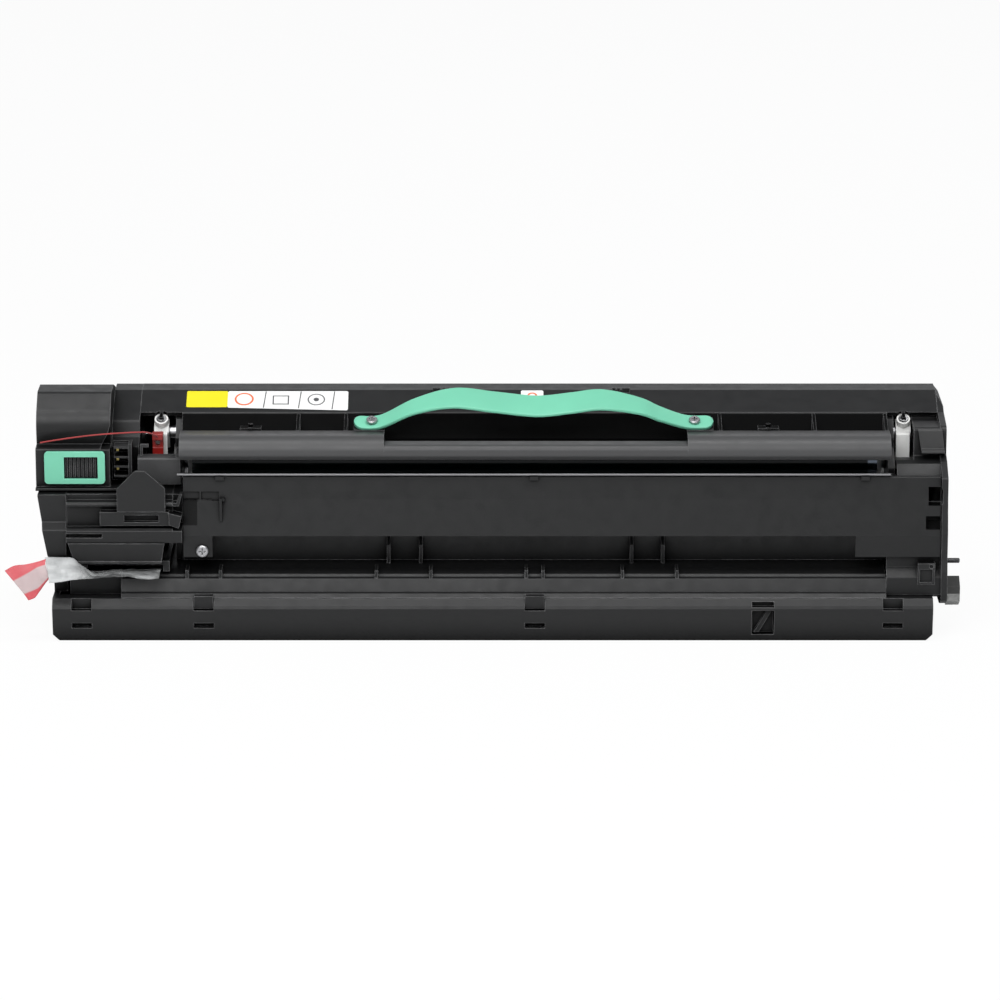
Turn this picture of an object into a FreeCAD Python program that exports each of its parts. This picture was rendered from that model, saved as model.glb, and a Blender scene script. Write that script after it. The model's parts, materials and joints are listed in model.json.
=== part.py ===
import FreeCAD, Part
import math
import os

V = FreeCAD.Vector

# A drum unit of an A3 printer, in millimetres. X runs along the unit, Y away from the viewer and Z up.
# The origin is on the underside of the developer tray, halfway along the housing.

# Housing, along the unit
housing_length = 430.0
left_end_x = -housing_length / 2
right_end_x = housing_length / 2
wall = 2.0                  # moulded wall
sheet_gap = 0.3             # room between pieces that slide or drop into place
shaft_gap = 0.05            # radial room of a shaft in its bush
end_plate = 3.0
end_wall = 3.0
left_plate_x = left_end_x + 65.0        # outer face of the left end plate
right_plate_x = right_end_x - 24.0      # outer face of the right end plate
inner_left = left_plate_x + end_plate
inner_right = right_plate_x - end_plate
window_x = left_end_x + 48.0            # left side of the left window
bulge_right = left_end_x + 35.0
tray_left = left_end_x + 8.1
tray_right = right_end_x - 7.0
frame_left = left_end_x + 40.4
frame_right = right_end_x - 29.0
cover_left = left_end_x + 69.8
cover_right = right_end_x - 3.4
cover_left_tab = 13.7       # length of the lowered left end
cover_right_tab = 40.1      # length of the lowered right end

# Section of the tray and the developer case, as depth and height
tray_front = -52.0
tray_rear = 9.0
tray_height = 20.5
crease = (-54.0, tray_height - 4.5)
tray_chamfer = 3.3
lid_rise = 10.9
lid_height = tray_height + lid_rise
shelf = (-34.0, lid_height - 0.6)
recess_back = -22.0
hood_top = 66.5
hood_rear_height = 46.0

# Section of the front cover, the slit and the upper housing
cover_front = -38.0
cover_waist = (-40.0, 66.0)
cover_skirt = -43.6
cover_foot = 49.0
cover_end_foot = 38.8
cover_top = 76.6
slit_height = 6.6
bead_foot = cover_top + slit_height + 1.0
bead_front = -38.6
bead_top = 95.2
bead_radius = 7.6
bead_back = -22.0
trough_floor = 88.5
trough_back = -13.3
band_low = (-6.5, 99.9)
ridge = (8.0, 107.3)
band_end = 10.0
case_rear = 30.0
case_foot = 81.0
pocket_left = -50.6         # finger pocket under the strap
pocket_right = 92.4
pocket_back = -29.5
rod_radius = 0.7
rod_axis = (cover_front - 0.6, cover_top + 1.0)

# Drum and charge roller
drum = (10.0, 72.0)
drum_radius = 15.0
drum_wall = 0.9
drum_shaft_radius = 4.0
drum_left = inner_left + 4.0
drum_right = inner_right - 4.0
bush_radius = 7.0
bush_collar = 8.5
charge_radius = 6.0
charge_shaft_radius = 3.0
charge_angle = 125.0
charge_lift = 0.8           # how far the charge roller can move off the drum
roller_gap = 0.3
spring_seat = 10.3
spring_foot = 5.0
barrel_radius = 3.2
holder_width = 7.0
charge_left_x = left_end_x + 54.5
charge_right_x = right_end_x - 22.7

# Developer
developer_radius = 9.0
developer_wall = 0.8
developer_gap = 0.5
developer_angle = -124.7
magnet_radius = 7.2
auger_radius = 8.0
auger_shaft_radius = 3.0
auger_pitch = 32.0
trough_gap = 1.0
front_auger = (-30.0, 18.6)
rear_auger_angle = -7.8
waste_auger_radius = 4.2
waste_shaft_radius = 2.5
waste_pitch = 17.0
waste_angle = 80.0

# Gears
module = 1.0
auger_teeth = 22
idler_teeth = 17
developer_teeth = 20
drum_teeth = 30
waste_teeth = 14
gear_width = 6.0
developer_gear_x = right_plate_x + 3.0
drum_gear_x = developer_gear_x + 8.0
idler_pin_radius = 2.5
coupling_flats = 12.4
coupling_end = right_end_x + 7.0

# Strap
strap_thickness = 1.8
strap_tilt = 25.0
strap_left = -65.1
strap_right = 104.9
strap_screws = (-56.6, 96.0)
strap_end_width = 9.4
strap_middle_width = 15.0
strap_seat = (-19.0, 97.4)
strap_curve = [(-53.0, 0.0), (-36.3, 9.5), (-17.8, 14.6), (1.7, 12.1), (21.4, 9.7),
               (37.3, 11.6), (52.0, 13.6), (69.6, 9.9), (80.0, 4.8), (92.5, 0.0)]

# Left end: lock, connector, toner inlet
end_floor = 68.2            # underside of the left end housing
bezel_x0 = left_end_x + 4.3
bezel_x1 = left_end_x + 32.8
bezel_z0 = 72.0
bezel_z1 = 87.6
bezel_front = -34.4
bezel_thickness = 1.6
slot_x0 = left_end_x + 13.5
slot_x1 = left_end_x + 29.4
slot_z0 = 74.4
slot_z1 = 85.0
slider_travel = 5.0
slider_lap = 1.5            # how far the slider reaches under the bezel
connector_x = left_end_x + 45.2         # right face of the connector
inlet_left = left_end_x + 14.8
inlet_right = cover_left - 0.4
chute_foot = lid_height + 5.2
inlet_band_foot = lid_height + 14.7
inlet_band_top = lid_height + 21.5

# Right end
pin_axis = (-20.0, 30.5)
pin_radius = 1.2
pin_root_radius = 1.6
pin_end = right_end_x + 8.0
sensor_left = 122.6
sensor_right = 133.1

# Where the snap tabs, ribs and screws stand along the unit
snap_places = (tray_left + 13.8, tray_left + 71.3, 20.4, tray_right - 18.9)
snap_width = 9.5
trough_ribs = (inner_left + 55.3, inner_left + 77.9, inner_right - 79.7, inner_right - 35.0, inner_right - 1.1)
hook_blocks = (inner_left + 33.0, inner_right - 57.0)
shelf_ribs = (frame_left + 30.9, frame_left + 46.6, -54.4, -28.7, 16.4, 24.3, 61.8, 87.5)
recess_ribs = (-48.9, -33.6, 66.5, 81.3)
rod_rests = (cover_left + 17.2, 20.0, cover_right - 35.6)
blade_screw_places = (inner_left + 19.0, 20.0, inner_right - 20.0)
cover_screw_place = (cover_left + 8.9, 41.7)

# Cleaning blade
blade_tip = (16.4, 86.0)
blade_angle = 48.0
blade_thickness = 2.0

# Thread of the transport clip
clip_x = charge_left_x + 2.1
clip_top = 92.0
clip_foot = 81.6
thread_radius = 0.35
thread_route = [(clip_x, -17.7, clip_top - 1.2), (clip_x - 2.6, -23.0, 94.4), (clip_x - 11.6, -28.6, 95.6),
                (clip_x - 25.6, -29.8, 95.0), (clip_x - 40.6, -29.4, 93.2), (clip_x - 54.6, -28.6, 90.6)]


def polar(centre, angle, distance):
    turn = math.radians(angle)
    return (centre[0] + distance * math.cos(turn), centre[1] + distance * math.sin(turn))


charge = polar(drum, charge_angle, drum_radius + charge_radius + roller_gap)
developer = polar(drum, developer_angle, drum_radius + developer_radius + developer_gap)
rear_auger = polar(front_auger, rear_auger_angle, module * auger_teeth)
waste_auger = polar(drum, waste_angle, module * (drum_teeth + waste_teeth) / 2)


# Directions at the charge roller: outward from the drum, and across towards the rear
outward = V(0, math.cos(math.radians(charge_angle)), math.sin(math.radians(charge_angle)))
across = V(0, outward.z, -outward.y)


def third_corner(first, second, from_first, from_second):
    # The point at both distances, on the rear side of the line from first to second
    dy = second[0] - first[0]
    dz = second[1] - first[1]
    span = math.hypot(dy, dz)
    along = (from_first ** 2 - from_second ** 2 + span ** 2) / (2 * span)
    aside = math.sqrt(from_first ** 2 - along ** 2)
    return (first[0] + (dy * along + dz * aside) / span, first[1] + (dz * along - dy * aside) / span)


idler = third_corner(rear_auger, developer, module * (auger_teeth + idler_teeth) / 2,
                     module * (idler_teeth + developer_teeth) / 2)


# Outlines are lists of (depth, height) or (depth, height, corner radius), walked with the inside on the right.
def radius_of(point):
    return point[2] if len(point) > 2 else 0.0


def round_corner(before, here, after, radius):
    back = (before - here).normalize()
    ahead = (after - here).normalize()
    half = back.getAngle(ahead) / 2
    reach = radius / math.tan(half)
    middle = (back + ahead).normalize()
    centre = here + middle * (radius / math.sin(half))
    return here + back * reach, centre - middle * radius, here + ahead * reach


def flat_face(spots, radii):
    # A face from corner points that lie in one plane, some of them rounded
    count = len(spots)
    corners = []
    for i, radius in enumerate(radii):
        if radius > 0.05:
            corners.append(round_corner(spots[i - 1], spots[i], spots[(i + 1) % count], radius))
        else:
            corners.append((spots[i], None, spots[i]))
    edges = []
    for i, (enter, middle, leave) in enumerate(corners):
        if middle is not None:
            edges.append(Part.Arc(enter, middle, leave).toShape())
        following = corners[(i + 1) % count][0]
        if (following - leave).Length > 1e-6:
            edges.append(Part.LineSegment(leave, following).toShape())
    return Part.Face(Part.Wire(edges))


def face_of(points):
    return flat_face([V(0, point[0], point[1]) for point in points], [radius_of(point) for point in points])


def prism_front(points, y0, y1):
    # An outline of (along, height) points, seen from the front and extruded in depth
    face = flat_face([V(point[0], y0, point[1]) for point in points], [radius_of(point) for point in points])
    return face.extrude(V(0, y1 - y0, 0))


def parallel(points, distance, closed):
    # The same outline, moved to the right of the walk, with mitred corners
    count = len(points)
    result = []
    for i, point in enumerate(points):
        here = V(0, point[0], point[1])
        steps = []
        if closed or i > 0:
            steps.append(here - V(0, points[i - 1][0], points[i - 1][1]))
        if closed or i < count - 1:
            following = points[(i + 1) % count]
            steps.append(V(0, following[0], following[1]) - here)
        normals = [V(0, step.z, -step.y).normalize() for step in steps]
        shift = (normals[0] + normals[-1]).normalize()
        spot = here + shift * (distance / shift.dot(normals[0]))
        turn = steps[0].y * steps[-1].z - steps[0].z * steps[-1].y
        radius = radius_of(point)
        if radius > 0:
            radius = max(radius + math.copysign(distance, turn), 0.0)
        result.append((spot.y, spot.z, radius))
    return result


def prism(points, x0, x1):
    face = face_of(points)
    face.translate(V(x0, 0, 0))
    return face.extrude(V(x1 - x0, 0, 0))


def strip(points, thickness, x0, x1):
    other = parallel(points, thickness, False)
    return prism(points + other[::-1], x0, x1)


def hollow(points, x0, x1, left_wall, right_wall):
    outside = prism(points, x0, x1)
    inside = prism(parallel(points, wall, True), x0 + left_wall, x1 - right_wall)
    return outside.cut(inside)


def box(x0, x1, y0, y1, z0, z1):
    return Part.makeBox(x1 - x0, y1 - y0, z1 - z0, V(x0, y0, z0))


def rod(axis, radius, x0, x1):
    return Part.makeCylinder(radius, x1 - x0, V(x0, axis[0], axis[1]), V(1, 0, 0))


def ring(axis, outer, inner, x0, x1):
    return rod(axis, outer, x0, x1).cut(rod(axis, inner, x0, x1))


def post(x, y, z, radius, length, direction):
    return Part.makeCylinder(radius, length, V(x, y, z), direction)


def join(first, *others):
    return first.fuse(list(others)).removeSplitter()


def carve(base, *tools):
    return base.cut(list(tools))


def group(*solids):
    return Part.makeCompound(list(solids))


# Gears with straight flanks. A phase is the direction of one tooth, in degrees from +Y towards +Z.
def gear(axis, teeth, phase, x0, bore):
    pitch_radius = module * teeth / 2
    tip = pitch_radius + 0.95 * module
    root = pitch_radius - 1.2 * module
    step = 360.0 / teeth
    points = []
    for i in range(teeth):
        middle = phase - i * step
        points.append(polar(axis, middle + 0.36 * step, root))
        points.append(polar(axis, middle + 0.115 * step, tip))
        points.append(polar(axis, middle - 0.115 * step, tip))
        points.append(polar(axis, middle - 0.36 * step, root))
    blank = prism(points, x0, x0 + gear_width)
    return blank.cut(rod(axis, bore, x0 - 1, x0 + gear_width + 1))


def meshed_phase(axis, teeth, phase, next_axis, next_teeth):
    # The phase of the next gear whose gap takes the tooth of the first
    towards = math.degrees(math.atan2(next_axis[1] - axis[1], next_axis[0] - axis[0]))
    past_tooth = (towards - phase) / (360.0 / teeth)
    gap = towards + 180.0 + past_tooth * (360.0 / next_teeth)
    return gap + 180.0 / next_teeth


# A screw conveyor: a shaft with a flight of flat facets round it
def screw_conveyor(axis, radius, shaft_radius, pitch, x0, x1, facets):
    thickness = 0.09 * pitch
    inner = 0.8 * shaft_radius
    count = int((x1 - x0 - thickness) / pitch * facets)

    def spot(i, distance, shift):
        place = polar(axis, 360.0 * i / facets, distance)
        return V(x0 + pitch * i / facets + shift, place[0], place[1])

    faces = []

    def facet(*spots):
        faces.append(Part.Face(Part.makePolygon(list(spots) + [spots[0]])))

    def quad(a, b, c, d):
        facet(a, b, c)
        facet(a, c, d)

    for i in range(count):
        low = [spot(i, inner, 0), spot(i, radius, 0), spot(i + 1, radius, 0), spot(i + 1, inner, 0)]
        high = [point + V(thickness, 0, 0) for point in low]
        quad(low[0], low[1], low[2], low[3])
        quad(high[0], high[3], high[2], high[1])
        facet(low[1], high[1], high[2], low[2])
        facet(low[0], low[3], high[3], high[0])
    for i in (0, count):
        inside = spot(i, inner, 0)
        outside = spot(i, radius, 0)
        facet(inside, outside, outside + V(thickness, 0, 0), inside + V(thickness, 0, 0))
    flight = Part.Solid(Part.makeShell(faces))
    if flight.Volume < 0:
        flight.reverse()
    return flight


# Screws: a low head with a cross slot on a plain shank, pointing along a direction
def cross_screw(x, y, z, direction, head_radius, shank_radius, shank_length):
    head_height = 0.5 * head_radius
    head = Part.makeCylinder(head_radius, head_height, V(0, 0, 0), V(0, 0, 1))
    head = head.makeChamfer(0.35 * head_height, [head.Edges[0]])
    shank = Part.makeCylinder(shank_radius, shank_length, V(0, 0, -shank_length), V(0, 0, 1))
    screw = head.fuse(shank)
    arm = 0.6 * head_radius
    half = 0.13 * head_radius
    slots = [Part.makeBox(2 * a, 2 * b, head_height, V(-a, -b, 0.4 * head_height))
             for a, b in ((arm, half), (half, arm))]
    screw = screw.cut(slots)
    screw.Placement = FreeCAD.Placement(V(x, y, z), FreeCAD.Rotation(V(0, 0, 1), direction))
    return screw


# Developer tray and case
def developer_lower_case():
    outer = [(tray_front, 0, 1.5), (crease[0], crease[1], 1.0), (crease[0] + 0.6, crease[1] + 1.6),
             (tray_front + 1.0, tray_height), (tray_rear, tray_height), (tray_rear, 0, 3.0)]
    tray = prism(outer, tray_left, tray_right)
    channel = auger_radius + trough_gap
    trough_left = frame_left + wall
    trough_right = frame_right - wall
    high = tray_height + 1
    gear_room = module * auger_teeth / 2 + 1.6
    gear_end = developer_gear_x + gear_width + 5.0
    hollows = []
    for axis in (front_auger, rear_auger):
        low = min(axis[1], tray_height)
        hollows.append(rod(axis, channel, trough_left, trough_right))
        hollows.append(box(trough_left, trough_right, axis[0] - channel, axis[0] + channel, low, high))
        hollows.append(rod(axis, auger_shaft_radius + shaft_gap, frame_left + 0.4, tray_right + 1))
        hollows.append(rod(axis, gear_room, right_plate_x, gear_end))
        hollows.append(box(right_plate_x, gear_end, axis[0] - gear_room, axis[0] + gear_room, low, high))
    shaft_room = auger_shaft_radius + 1.6
    hollows.append(rod(front_auger, shaft_room, gear_end, tray_right + 1))
    hollows.append(box(gear_end, tray_right + 1, front_auger[0] - shaft_room, front_auger[0] + shaft_room,
                       min(front_auger[1], tray_height), high))
    hollows.append(box(tray_left + 3, frame_left - 5, tray_front + 8, tray_rear - 3, 4.0, high))
    for x in snap_places:
        half = snap_width / 2
        hollows.append(box(x - half, x + half, crease[0] - 1, tray_front + 1.6, crease[1] - 0.6, high))
        hollows.append(box(x - half, x + half, crease[0] - 1, tray_front + 2.2, 6.6, 9.1))
    hollows.append(box(sensor_left, sensor_right, crease[0] - 1, tray_front + 6, 3.4, crease[1] - 0.6))
    hollows.append(box(sensor_left, sensor_right, crease[0] - 1, tray_front + 1.4, crease[1] + 0.9, crease[1] + 3.2))
    for x0, x1 in ((tray_left, tray_left + tray_chamfer), (tray_right, tray_right - tray_chamfer)):
        outside = x0 + (x0 - x1)
        hollows.append(prism_front([(outside, -1.0), (x1, -1.0), (x1, 0.0), (x0, tray_chamfer),
                                    (outside, tray_chamfer)][::1 if x0 < x1 else -1], -60.0, -40.0))
    return carve(tray, *hollows)


def developer_upper_case():
    front = [(tray_front + 1.6, tray_height), (-48.4, tray_height + 1.8, 0.4), (-46.6, tray_height + 2.2, 0.5),
             (-44.4, tray_height + 7.9, 0.5), (-42.6, tray_height + 8.4, 0.5), (-41.6, tray_height + 9.5, 0.5),
             shelf, (recess_back, lid_height)]
    frame = strip(front, wall, frame_left, frame_right)
    lid = box(frame_left, left_plate_x, recess_back, tray_rear, lid_height - wall, lid_height)
    rear = [(tray_rear, hood_rear_height), (tray_rear, tray_height)]
    case_right = inner_right - 0.5
    case_left = inner_left + 0.5
    rear_wall = strip(rear, wall, case_left, case_right)
    low_rear = box(frame_left, case_left, tray_rear - wall, tray_rear, tray_height, lid_height)
    hood = strip([(recess_back, lid_height - 1.0), (recess_back, hood_top - 4.5, 2.0),
                  (recess_back + 5, hood_top, 1.5), (recess_back + 11.5, hood_top)], wall, case_left, case_right)
    joining = box(left_plate_x, case_left, recess_back, tray_rear, lid_height - wall, lid_height)
    end_outline = [(recess_back, lid_height - wall), (recess_back, hood_top - 4.5, 2.0),
                   (recess_back + 5, hood_top, 1.5), (recess_back + 11.5, hood_top), (tray_rear, hood_top),
                   (tray_rear, lid_height - wall)]
    left_wall = prism(end_outline, case_left, case_left + wall)
    right_wall = prism(end_outline, frame_right - wall, case_right)
    low_outline = front + [(tray_rear, lid_height), (tray_rear, tray_height)]
    left_low = prism(low_outline, frame_left, frame_left + wall)
    right_low = prism(low_outline, frame_right - wall, frame_right)
    ribs = [box(x - 0.7, x + 0.7, -44.0, -33.0, lid_height - 3.9, lid_height + 0.8) for x in shelf_ribs]
    ribs += [prism([(-27.0, lid_height - 0.4), (-27.0, lid_height + 8.6), (recess_back + 1, lid_height + 14.6),
                    (recess_back + 1, lid_height - 0.4)], x - 0.8, x + 0.8) for x in recess_ribs]
    bump = box(4.0, 27.6, -27.0, recess_back + 1, 48.0, 53.0)
    boss_start = cover_skirt + wall + sheet_gap
    boss = post(cover_screw_place[0], boss_start, cover_screw_place[1], 3.4,
                recess_back + 1 - boss_start, V(0, 1, 0))
    tabs = []
    for x in snap_places:
        if frame_left < x < frame_right:
            half = snap_width / 2 - sheet_gap
            tabs.append(box(x - half, x + half, tray_front - 0.4, tray_front + 1.2, crease[1], tray_height + 1.5))
            tabs.append(box(x - half, x + half, tray_front - 0.4, -48.4, tray_height + 0.1, tray_height + 1.5))
    case = join(frame, lid, rear_wall, low_rear, hood, joining, left_wall, right_wall, left_low,
                right_low, bump, boss, *(ribs + tabs))
    openings = [rod(drum, drum_radius + 0.8, left_plate_x - 1, right_plate_x + 1),
                rod(developer, 4.6, left_plate_x, right_plate_x),
                post(cover_screw_place[0], cover_front - 8, cover_screw_place[1], 1.25, 22, V(0, 1, 0)),
                box(frame_left - 1, frame_right + 1, tray_front + 1.5, tray_rear + 1, tray_height - 10, tray_height)]
    for axis in (front_auger, rear_auger):
        openings.append(rod(axis, auger_radius + trough_gap, frame_left + wall, frame_right - wall))
        openings.append(rod(axis, auger_shaft_radius + shaft_gap, frame_left + 0.4, frame_right + 1))
    return carve(case, *openings)


def front_cover():
    face = [(cover_skirt, cover_foot), cover_waist + (3.0,), (cover_front, cover_top, 0.8),
            (cover_front + 9.0, cover_top - 0.6)]
    middle = strip(face, wall, cover_left, cover_right)
    end = [(cover_skirt, cover_end_foot), (cover_skirt, cover_foot + 0.02), cover_waist]
    left_tab = strip(end, wall, cover_left, cover_left + cover_left_tab)
    right_tab = strip(end, wall, cover_right - cover_right_tab, cover_right)
    hook_x = cover_left + 17.2
    hook = box(hook_x, hook_x + 1.2, cover_front - 5.0, cover_front - 2.6, 56.0, 67.0)
    hook_top = box(hook_x, hook_x + 2.4, cover_front - 4.4, cover_front - 1.0, 65.6, 67.0)
    rests = [box(x - 2.0, x + 2.0, cover_front - 1.6, cover_front + 0.6, cover_top - 1.6,
                 rod_axis[1] - rod_radius) for x in rod_rests]
    cover = join(middle, left_tab, right_tab, hook, hook_top, *rests)
    screw_hole = post(cover_screw_place[0], cover_skirt - 2, cover_screw_place[1], 1.6, 6, V(0, 1, 0))
    relief = box(right_plate_x - 0.4, cover_right + 1, cover_front + 1.7, -20.0, 70.0, 80.0)
    # Shallow sinks beside the hook, and two openings at the right end
    sink = strip(face, 0.9, cover_left - 1, cover_left + 7.7)
    sink = sink.common(box(cover_left - 1, cover_left + 7.7, -60, -20, 54.4, 69.6))
    small_sink = strip(face, 0.9, cover_left + 8.4, cover_left + 16.8)
    small_sink = small_sink.common(box(cover_left + 8.4, cover_left + 16.8, -60, -20, 65.3, 69.6))
    notches = [box(cover_right - 5.8, cover_right + 1, -46, -36, 63.0, 71.8),
               box(cover_right - 7.0, cover_right + 1, -46, -36, 52.0, 58.2)]
    return carve(cover, screw_hole, relief, sink, small_sink, *notches)


def slit_rod():
    return rod(rod_axis, rod_radius - 0.1, inner_left - 1.0, inner_right)


# Shapes placed by their distance across and outward from the charge roller's axis
def tilted(points, x0, x1):
    spots = []
    for point in points:
        place = across * point[0] + outward * point[1]
        spots.append((charge[0] + place.y, charge[1] + place.z) + tuple(point[2:]))
    return prism(spots, x0, x1)


def holder_cylinder(x, radius, low, high):
    return Part.makeCylinder(radius, high - low, V(x, charge[0], charge[1]) + outward * low, outward)


# Upper housing with the slit bead, the ribbed trough and the sloping band
def upper_housing():
    roof = [(trough_back, trough_floor, 1.0), (band_low[0], band_low[1], 1.5),
            (ridge[0], ridge[1], 1.0), (band_end, ridge[1])]
    foot = [(-29.0, bead_foot - 1.2), (-36.5, bead_foot, 0.6), (bead_front, bead_foot + 2.4, 1.5)]
    behind = [(bead_back, bead_top - 0.2, 1.0), (bead_back + 1.4, trough_floor, 0.6)]
    bead = foot + [(bead_front, bead_top, bead_radius)] + behind
    pocket = foot + [(bead_front, 91.4, 3.0), (-31.0, 92.2, 0.8), (pocket_back, trough_floor, 0.6)]
    lengths = [(bead, inner_left, pocket_left), (pocket, pocket_left, pocket_right),
               (bead, pocket_right, inner_right)]
    pieces = [strip(front + roof, wall, x0, x1) for front, x0, x1 in lengths]
    cheek = bead[1:5] + [(bead_back + 1.4, trough_floor), (bead_back + 1.4, bead_foot)]
    for x in (pocket_left, pocket_right + wall, inner_left + wall, inner_right):
        pieces.append(prism(cheek, x - wall, x))
    band = [(band_low[0], band_low[1]), (ridge[0], ridge[1], 1.0), (band_end, ridge[1])]
    pieces.append(strip(band, wall, window_x, inner_left))
    pieces.append(strip(band, wall, inner_right, right_end_x - end_wall))
    rib = [(bead_back + 0.6, trough_floor - 0.5), (bead_back - 0.4, bead_top - 0.4), (band_low[0] - 0.6, 99.4),
           (trough_back + 0.5, trough_floor - 0.5)]
    pieces += [prism(rib, x - 0.8, x + 0.8) for x in trough_ribs]
    for x in hook_blocks:
        pieces.append(box(x - 5, x + 5, -21.5, -15.5, trough_floor - 1, 95.6))
        pieces.append(post(x, -18.5, 95.0, 1.1, 2.4, V(0, 0, 1)))
    for x, order in ((-23.9, 1), (61.8, -1)):
        for shift, size in ((-2.3, 1.9), (1.2, 0.8), (3.4, 0.8)):
            place = x + order * shift
            pieces.append(box(place - size, place + size, ridge[0] - 2.0, ridge[0] + 0.5, ridge[1] - 1, 108.7))
    for x0, x1 in ((strap_left, pocket_left), (pocket_right, strap_right)):
        pieces.append(strap_seat_block(x0, x1))
    sill = [(-30.0, 70.6), (-30.0, bead_foot - 0.8, 1.2), (-25.0, bead_foot)]
    pieces.append(strip(sill, wall, window_x, inner_left))
    pieces.append(box(window_x + 1.0, window_x + 5.0, -26.5, -25.2, bead_foot + 3.6, bead_foot + 5.1))
    pieces.append(box(window_x + 1.0, window_x + 2.2, -26.5, -25.2, bead_foot - 1.0, bead_foot + 4.0))
    tie = [(-29.0, bead_foot - 1.2), (-29.0, bead_foot + 1.0), (-15.0, bead_foot + 1.0), (-15.0, bead_foot - 1.2)]
    pieces.append(prism(tie, inner_left - wall, inner_left + wall))
    housing = join(pieces[0], *pieces[1:])
    # Room for the two holder barrels, and a slim lug with a peg over each spring
    middles = [x + holder_width / 2 for x in (charge_left_x, charge_right_x)]
    room = [holder_cylinder(x, barrel_radius + sheet_gap, 0.0, 14.0) for x in middles]
    housing = carve(housing, *(room + [strap_hole(x, 1.3) for x in strap_screws]))
    lugs = [tilted([(-1.2, spring_seat), (-1.2, spring_seat + 0.95), (5.0, spring_seat + 0.4),
                    (5.0, spring_seat - 0.9), (3.9, spring_seat - 0.6), (3.7, spring_seat)], x - 0.8, x + 0.8)
            for x in middles]
    pegs = [holder_cylinder(x, 0.9, spring_seat - 0.9, spring_seat + 0.3) for x in middles]
    return join(housing, *(lugs + pegs))


tilt = math.radians(strap_tilt)
strap_out = V(0, -math.sin(tilt), math.cos(tilt))      # away from the seat
strap_across = V(0, math.cos(tilt), math.sin(tilt))    # across the strap, towards the rear


def strap_point(x, height, across):
    return V(x, strap_seat[0], strap_seat[1]) + strap_out * height + strap_across * across


def strap_seat_block(x0, x1):
    half = strap_end_width / 2
    front = strap_point(0, 0, -half)
    back = strap_point(0, 0, half)
    return prism([(front.y, trough_floor - 1), (front.y, front.z), (back.y, back.z),
                  (back.y, trough_floor - 1)], x0, x1)


def strap_hole(x, radius):
    start = strap_point(x, 4, 0)
    return Part.makeCylinder(radius, 12, start, -strap_out)


def handle_strap():
    half = strap_middle_width / 2 + 1

    def side(height):
        spots = [strap_point(x, h + height, -half) for x, h in strap_curve]
        curve = Part.BSplineCurve()
        curve.interpolate(spots, InitialTangent=V(1, 0, 0), FinalTangent=V(1, 0, 0))
        ends = [strap_point(strap_left, height, -half), strap_point(strap_right, height, -half)]
        return [Part.LineSegment(ends[0], spots[0]).toShape(), curve.toShape(),
                Part.LineSegment(spots[-1], ends[1]).toShape()]

    under = side(0.0)
    over = side(strap_thickness)
    left = Part.LineSegment(under[0].Vertexes[0].Point, over[0].Vertexes[0].Point).toShape()
    right = Part.LineSegment(under[2].Vertexes[1].Point, over[2].Vertexes[1].Point).toShape()
    profile = Part.Face(Part.Wire(Part.__sortEdges__(under + over + [left, right])))
    band = profile.extrude(strap_across * (2 * half))
    # Plan of the strap: narrow round ends and a wide middle
    plan = [(strap_left, -strap_end_width / 2), (-50.0, -strap_end_width / 2),
            (-20.0, -strap_middle_width / 2 + 0.8), (20.0, -strap_middle_width / 2),
            (60.0, -strap_middle_width / 2 + 0.8), (90.0, -strap_end_width / 2),
            (strap_right, -strap_end_width / 2)]
    low = [strap_point(x, -5, across) for x, across in plan]
    high = [strap_point(x, -5, -across) for x, across in plan]
    outline = Part.makePolygon(low + high[::-1] + [low[0]])
    cutter = Part.Face(outline).extrude(strap_out * 40)
    strap = band.common(cutter)
    corners = [edge for edge in strap.Edges if is_strap_corner(edge)]
    strap = strap.makeFillet(2.5, corners)
    return carve(strap, *[strap_hole(x, 1.7) for x in strap_screws])


def is_strap_corner(edge):
    middle = edge.CenterOfMass
    at_end = min(abs(middle.x - strap_left), abs(middle.x - strap_right)) < 0.01
    return at_end and abs(edge.Length - strap_thickness) < 0.01


def handle_screws():
    screws = []
    for x in strap_screws:
        place = strap_point(x, strap_thickness, 0)
        screws.append(cross_screw(x, place.y, place.z, strap_out, 2.6, 1.25, 7.0))
    return group(*screws)


# End plates
def shaft_holes(x0, x1):
    return [rod(drum, bush_radius + shaft_gap, x0, x1), rod(charge, charge_shaft_radius + 1.6, x0, x1),
            rod(waste_auger, waste_shaft_radius + shaft_gap, x0, x1)]


plate_top = [(recess_back + 1, 68.0), (recess_back + 1, 76.0, 1.0), (-12.5, 84.0, 2.0), (-13.2, 88.8, 0.8),
             (-7.4, 96.8, 0.8), (8.5, 103.4, 1.0), (21.0, 103.5, 3.0), (27.0, 98.0, 2.0), (27.0, 62.0, 4.0)]


def left_end_plate():
    outline = plate_top + [(tray_rear, 50.0), (tray_rear, lid_height + 0.1), (recess_back + 1, lid_height + 0.1)]
    plate = prism(outline, left_plate_x, inner_left)
    holes = shaft_holes(left_plate_x - 1, inner_left + 1) + [rod(developer, 2.05, left_plate_x - 1, inner_left + 1)]
    return carve(plate, *holes)


def right_end_plate():
    outline = plate_top + [(tray_rear, 50.0), (tray_rear, tray_height + 0.5), (-17.0, tray_height + 0.5),
                           (-17.0, lid_height + 2.6), (recess_back + 1, lid_height + 4.6)]
    plate = prism(outline, inner_right, right_plate_x)
    holes = shaft_holes(inner_right - 1, right_plate_x + 1)
    holes.append(rod(developer, auger_shaft_radius + shaft_gap, inner_right - 1, right_plate_x + 1))
    holes.append(rod(idler, idler_pin_radius + shaft_gap, inner_right - 1, right_plate_x + 1))
    holes.append(rod(rear_auger, auger_shaft_radius + 1.0, inner_right - 1, right_plate_x + 1))
    return carve(plate, *holes)


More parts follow.
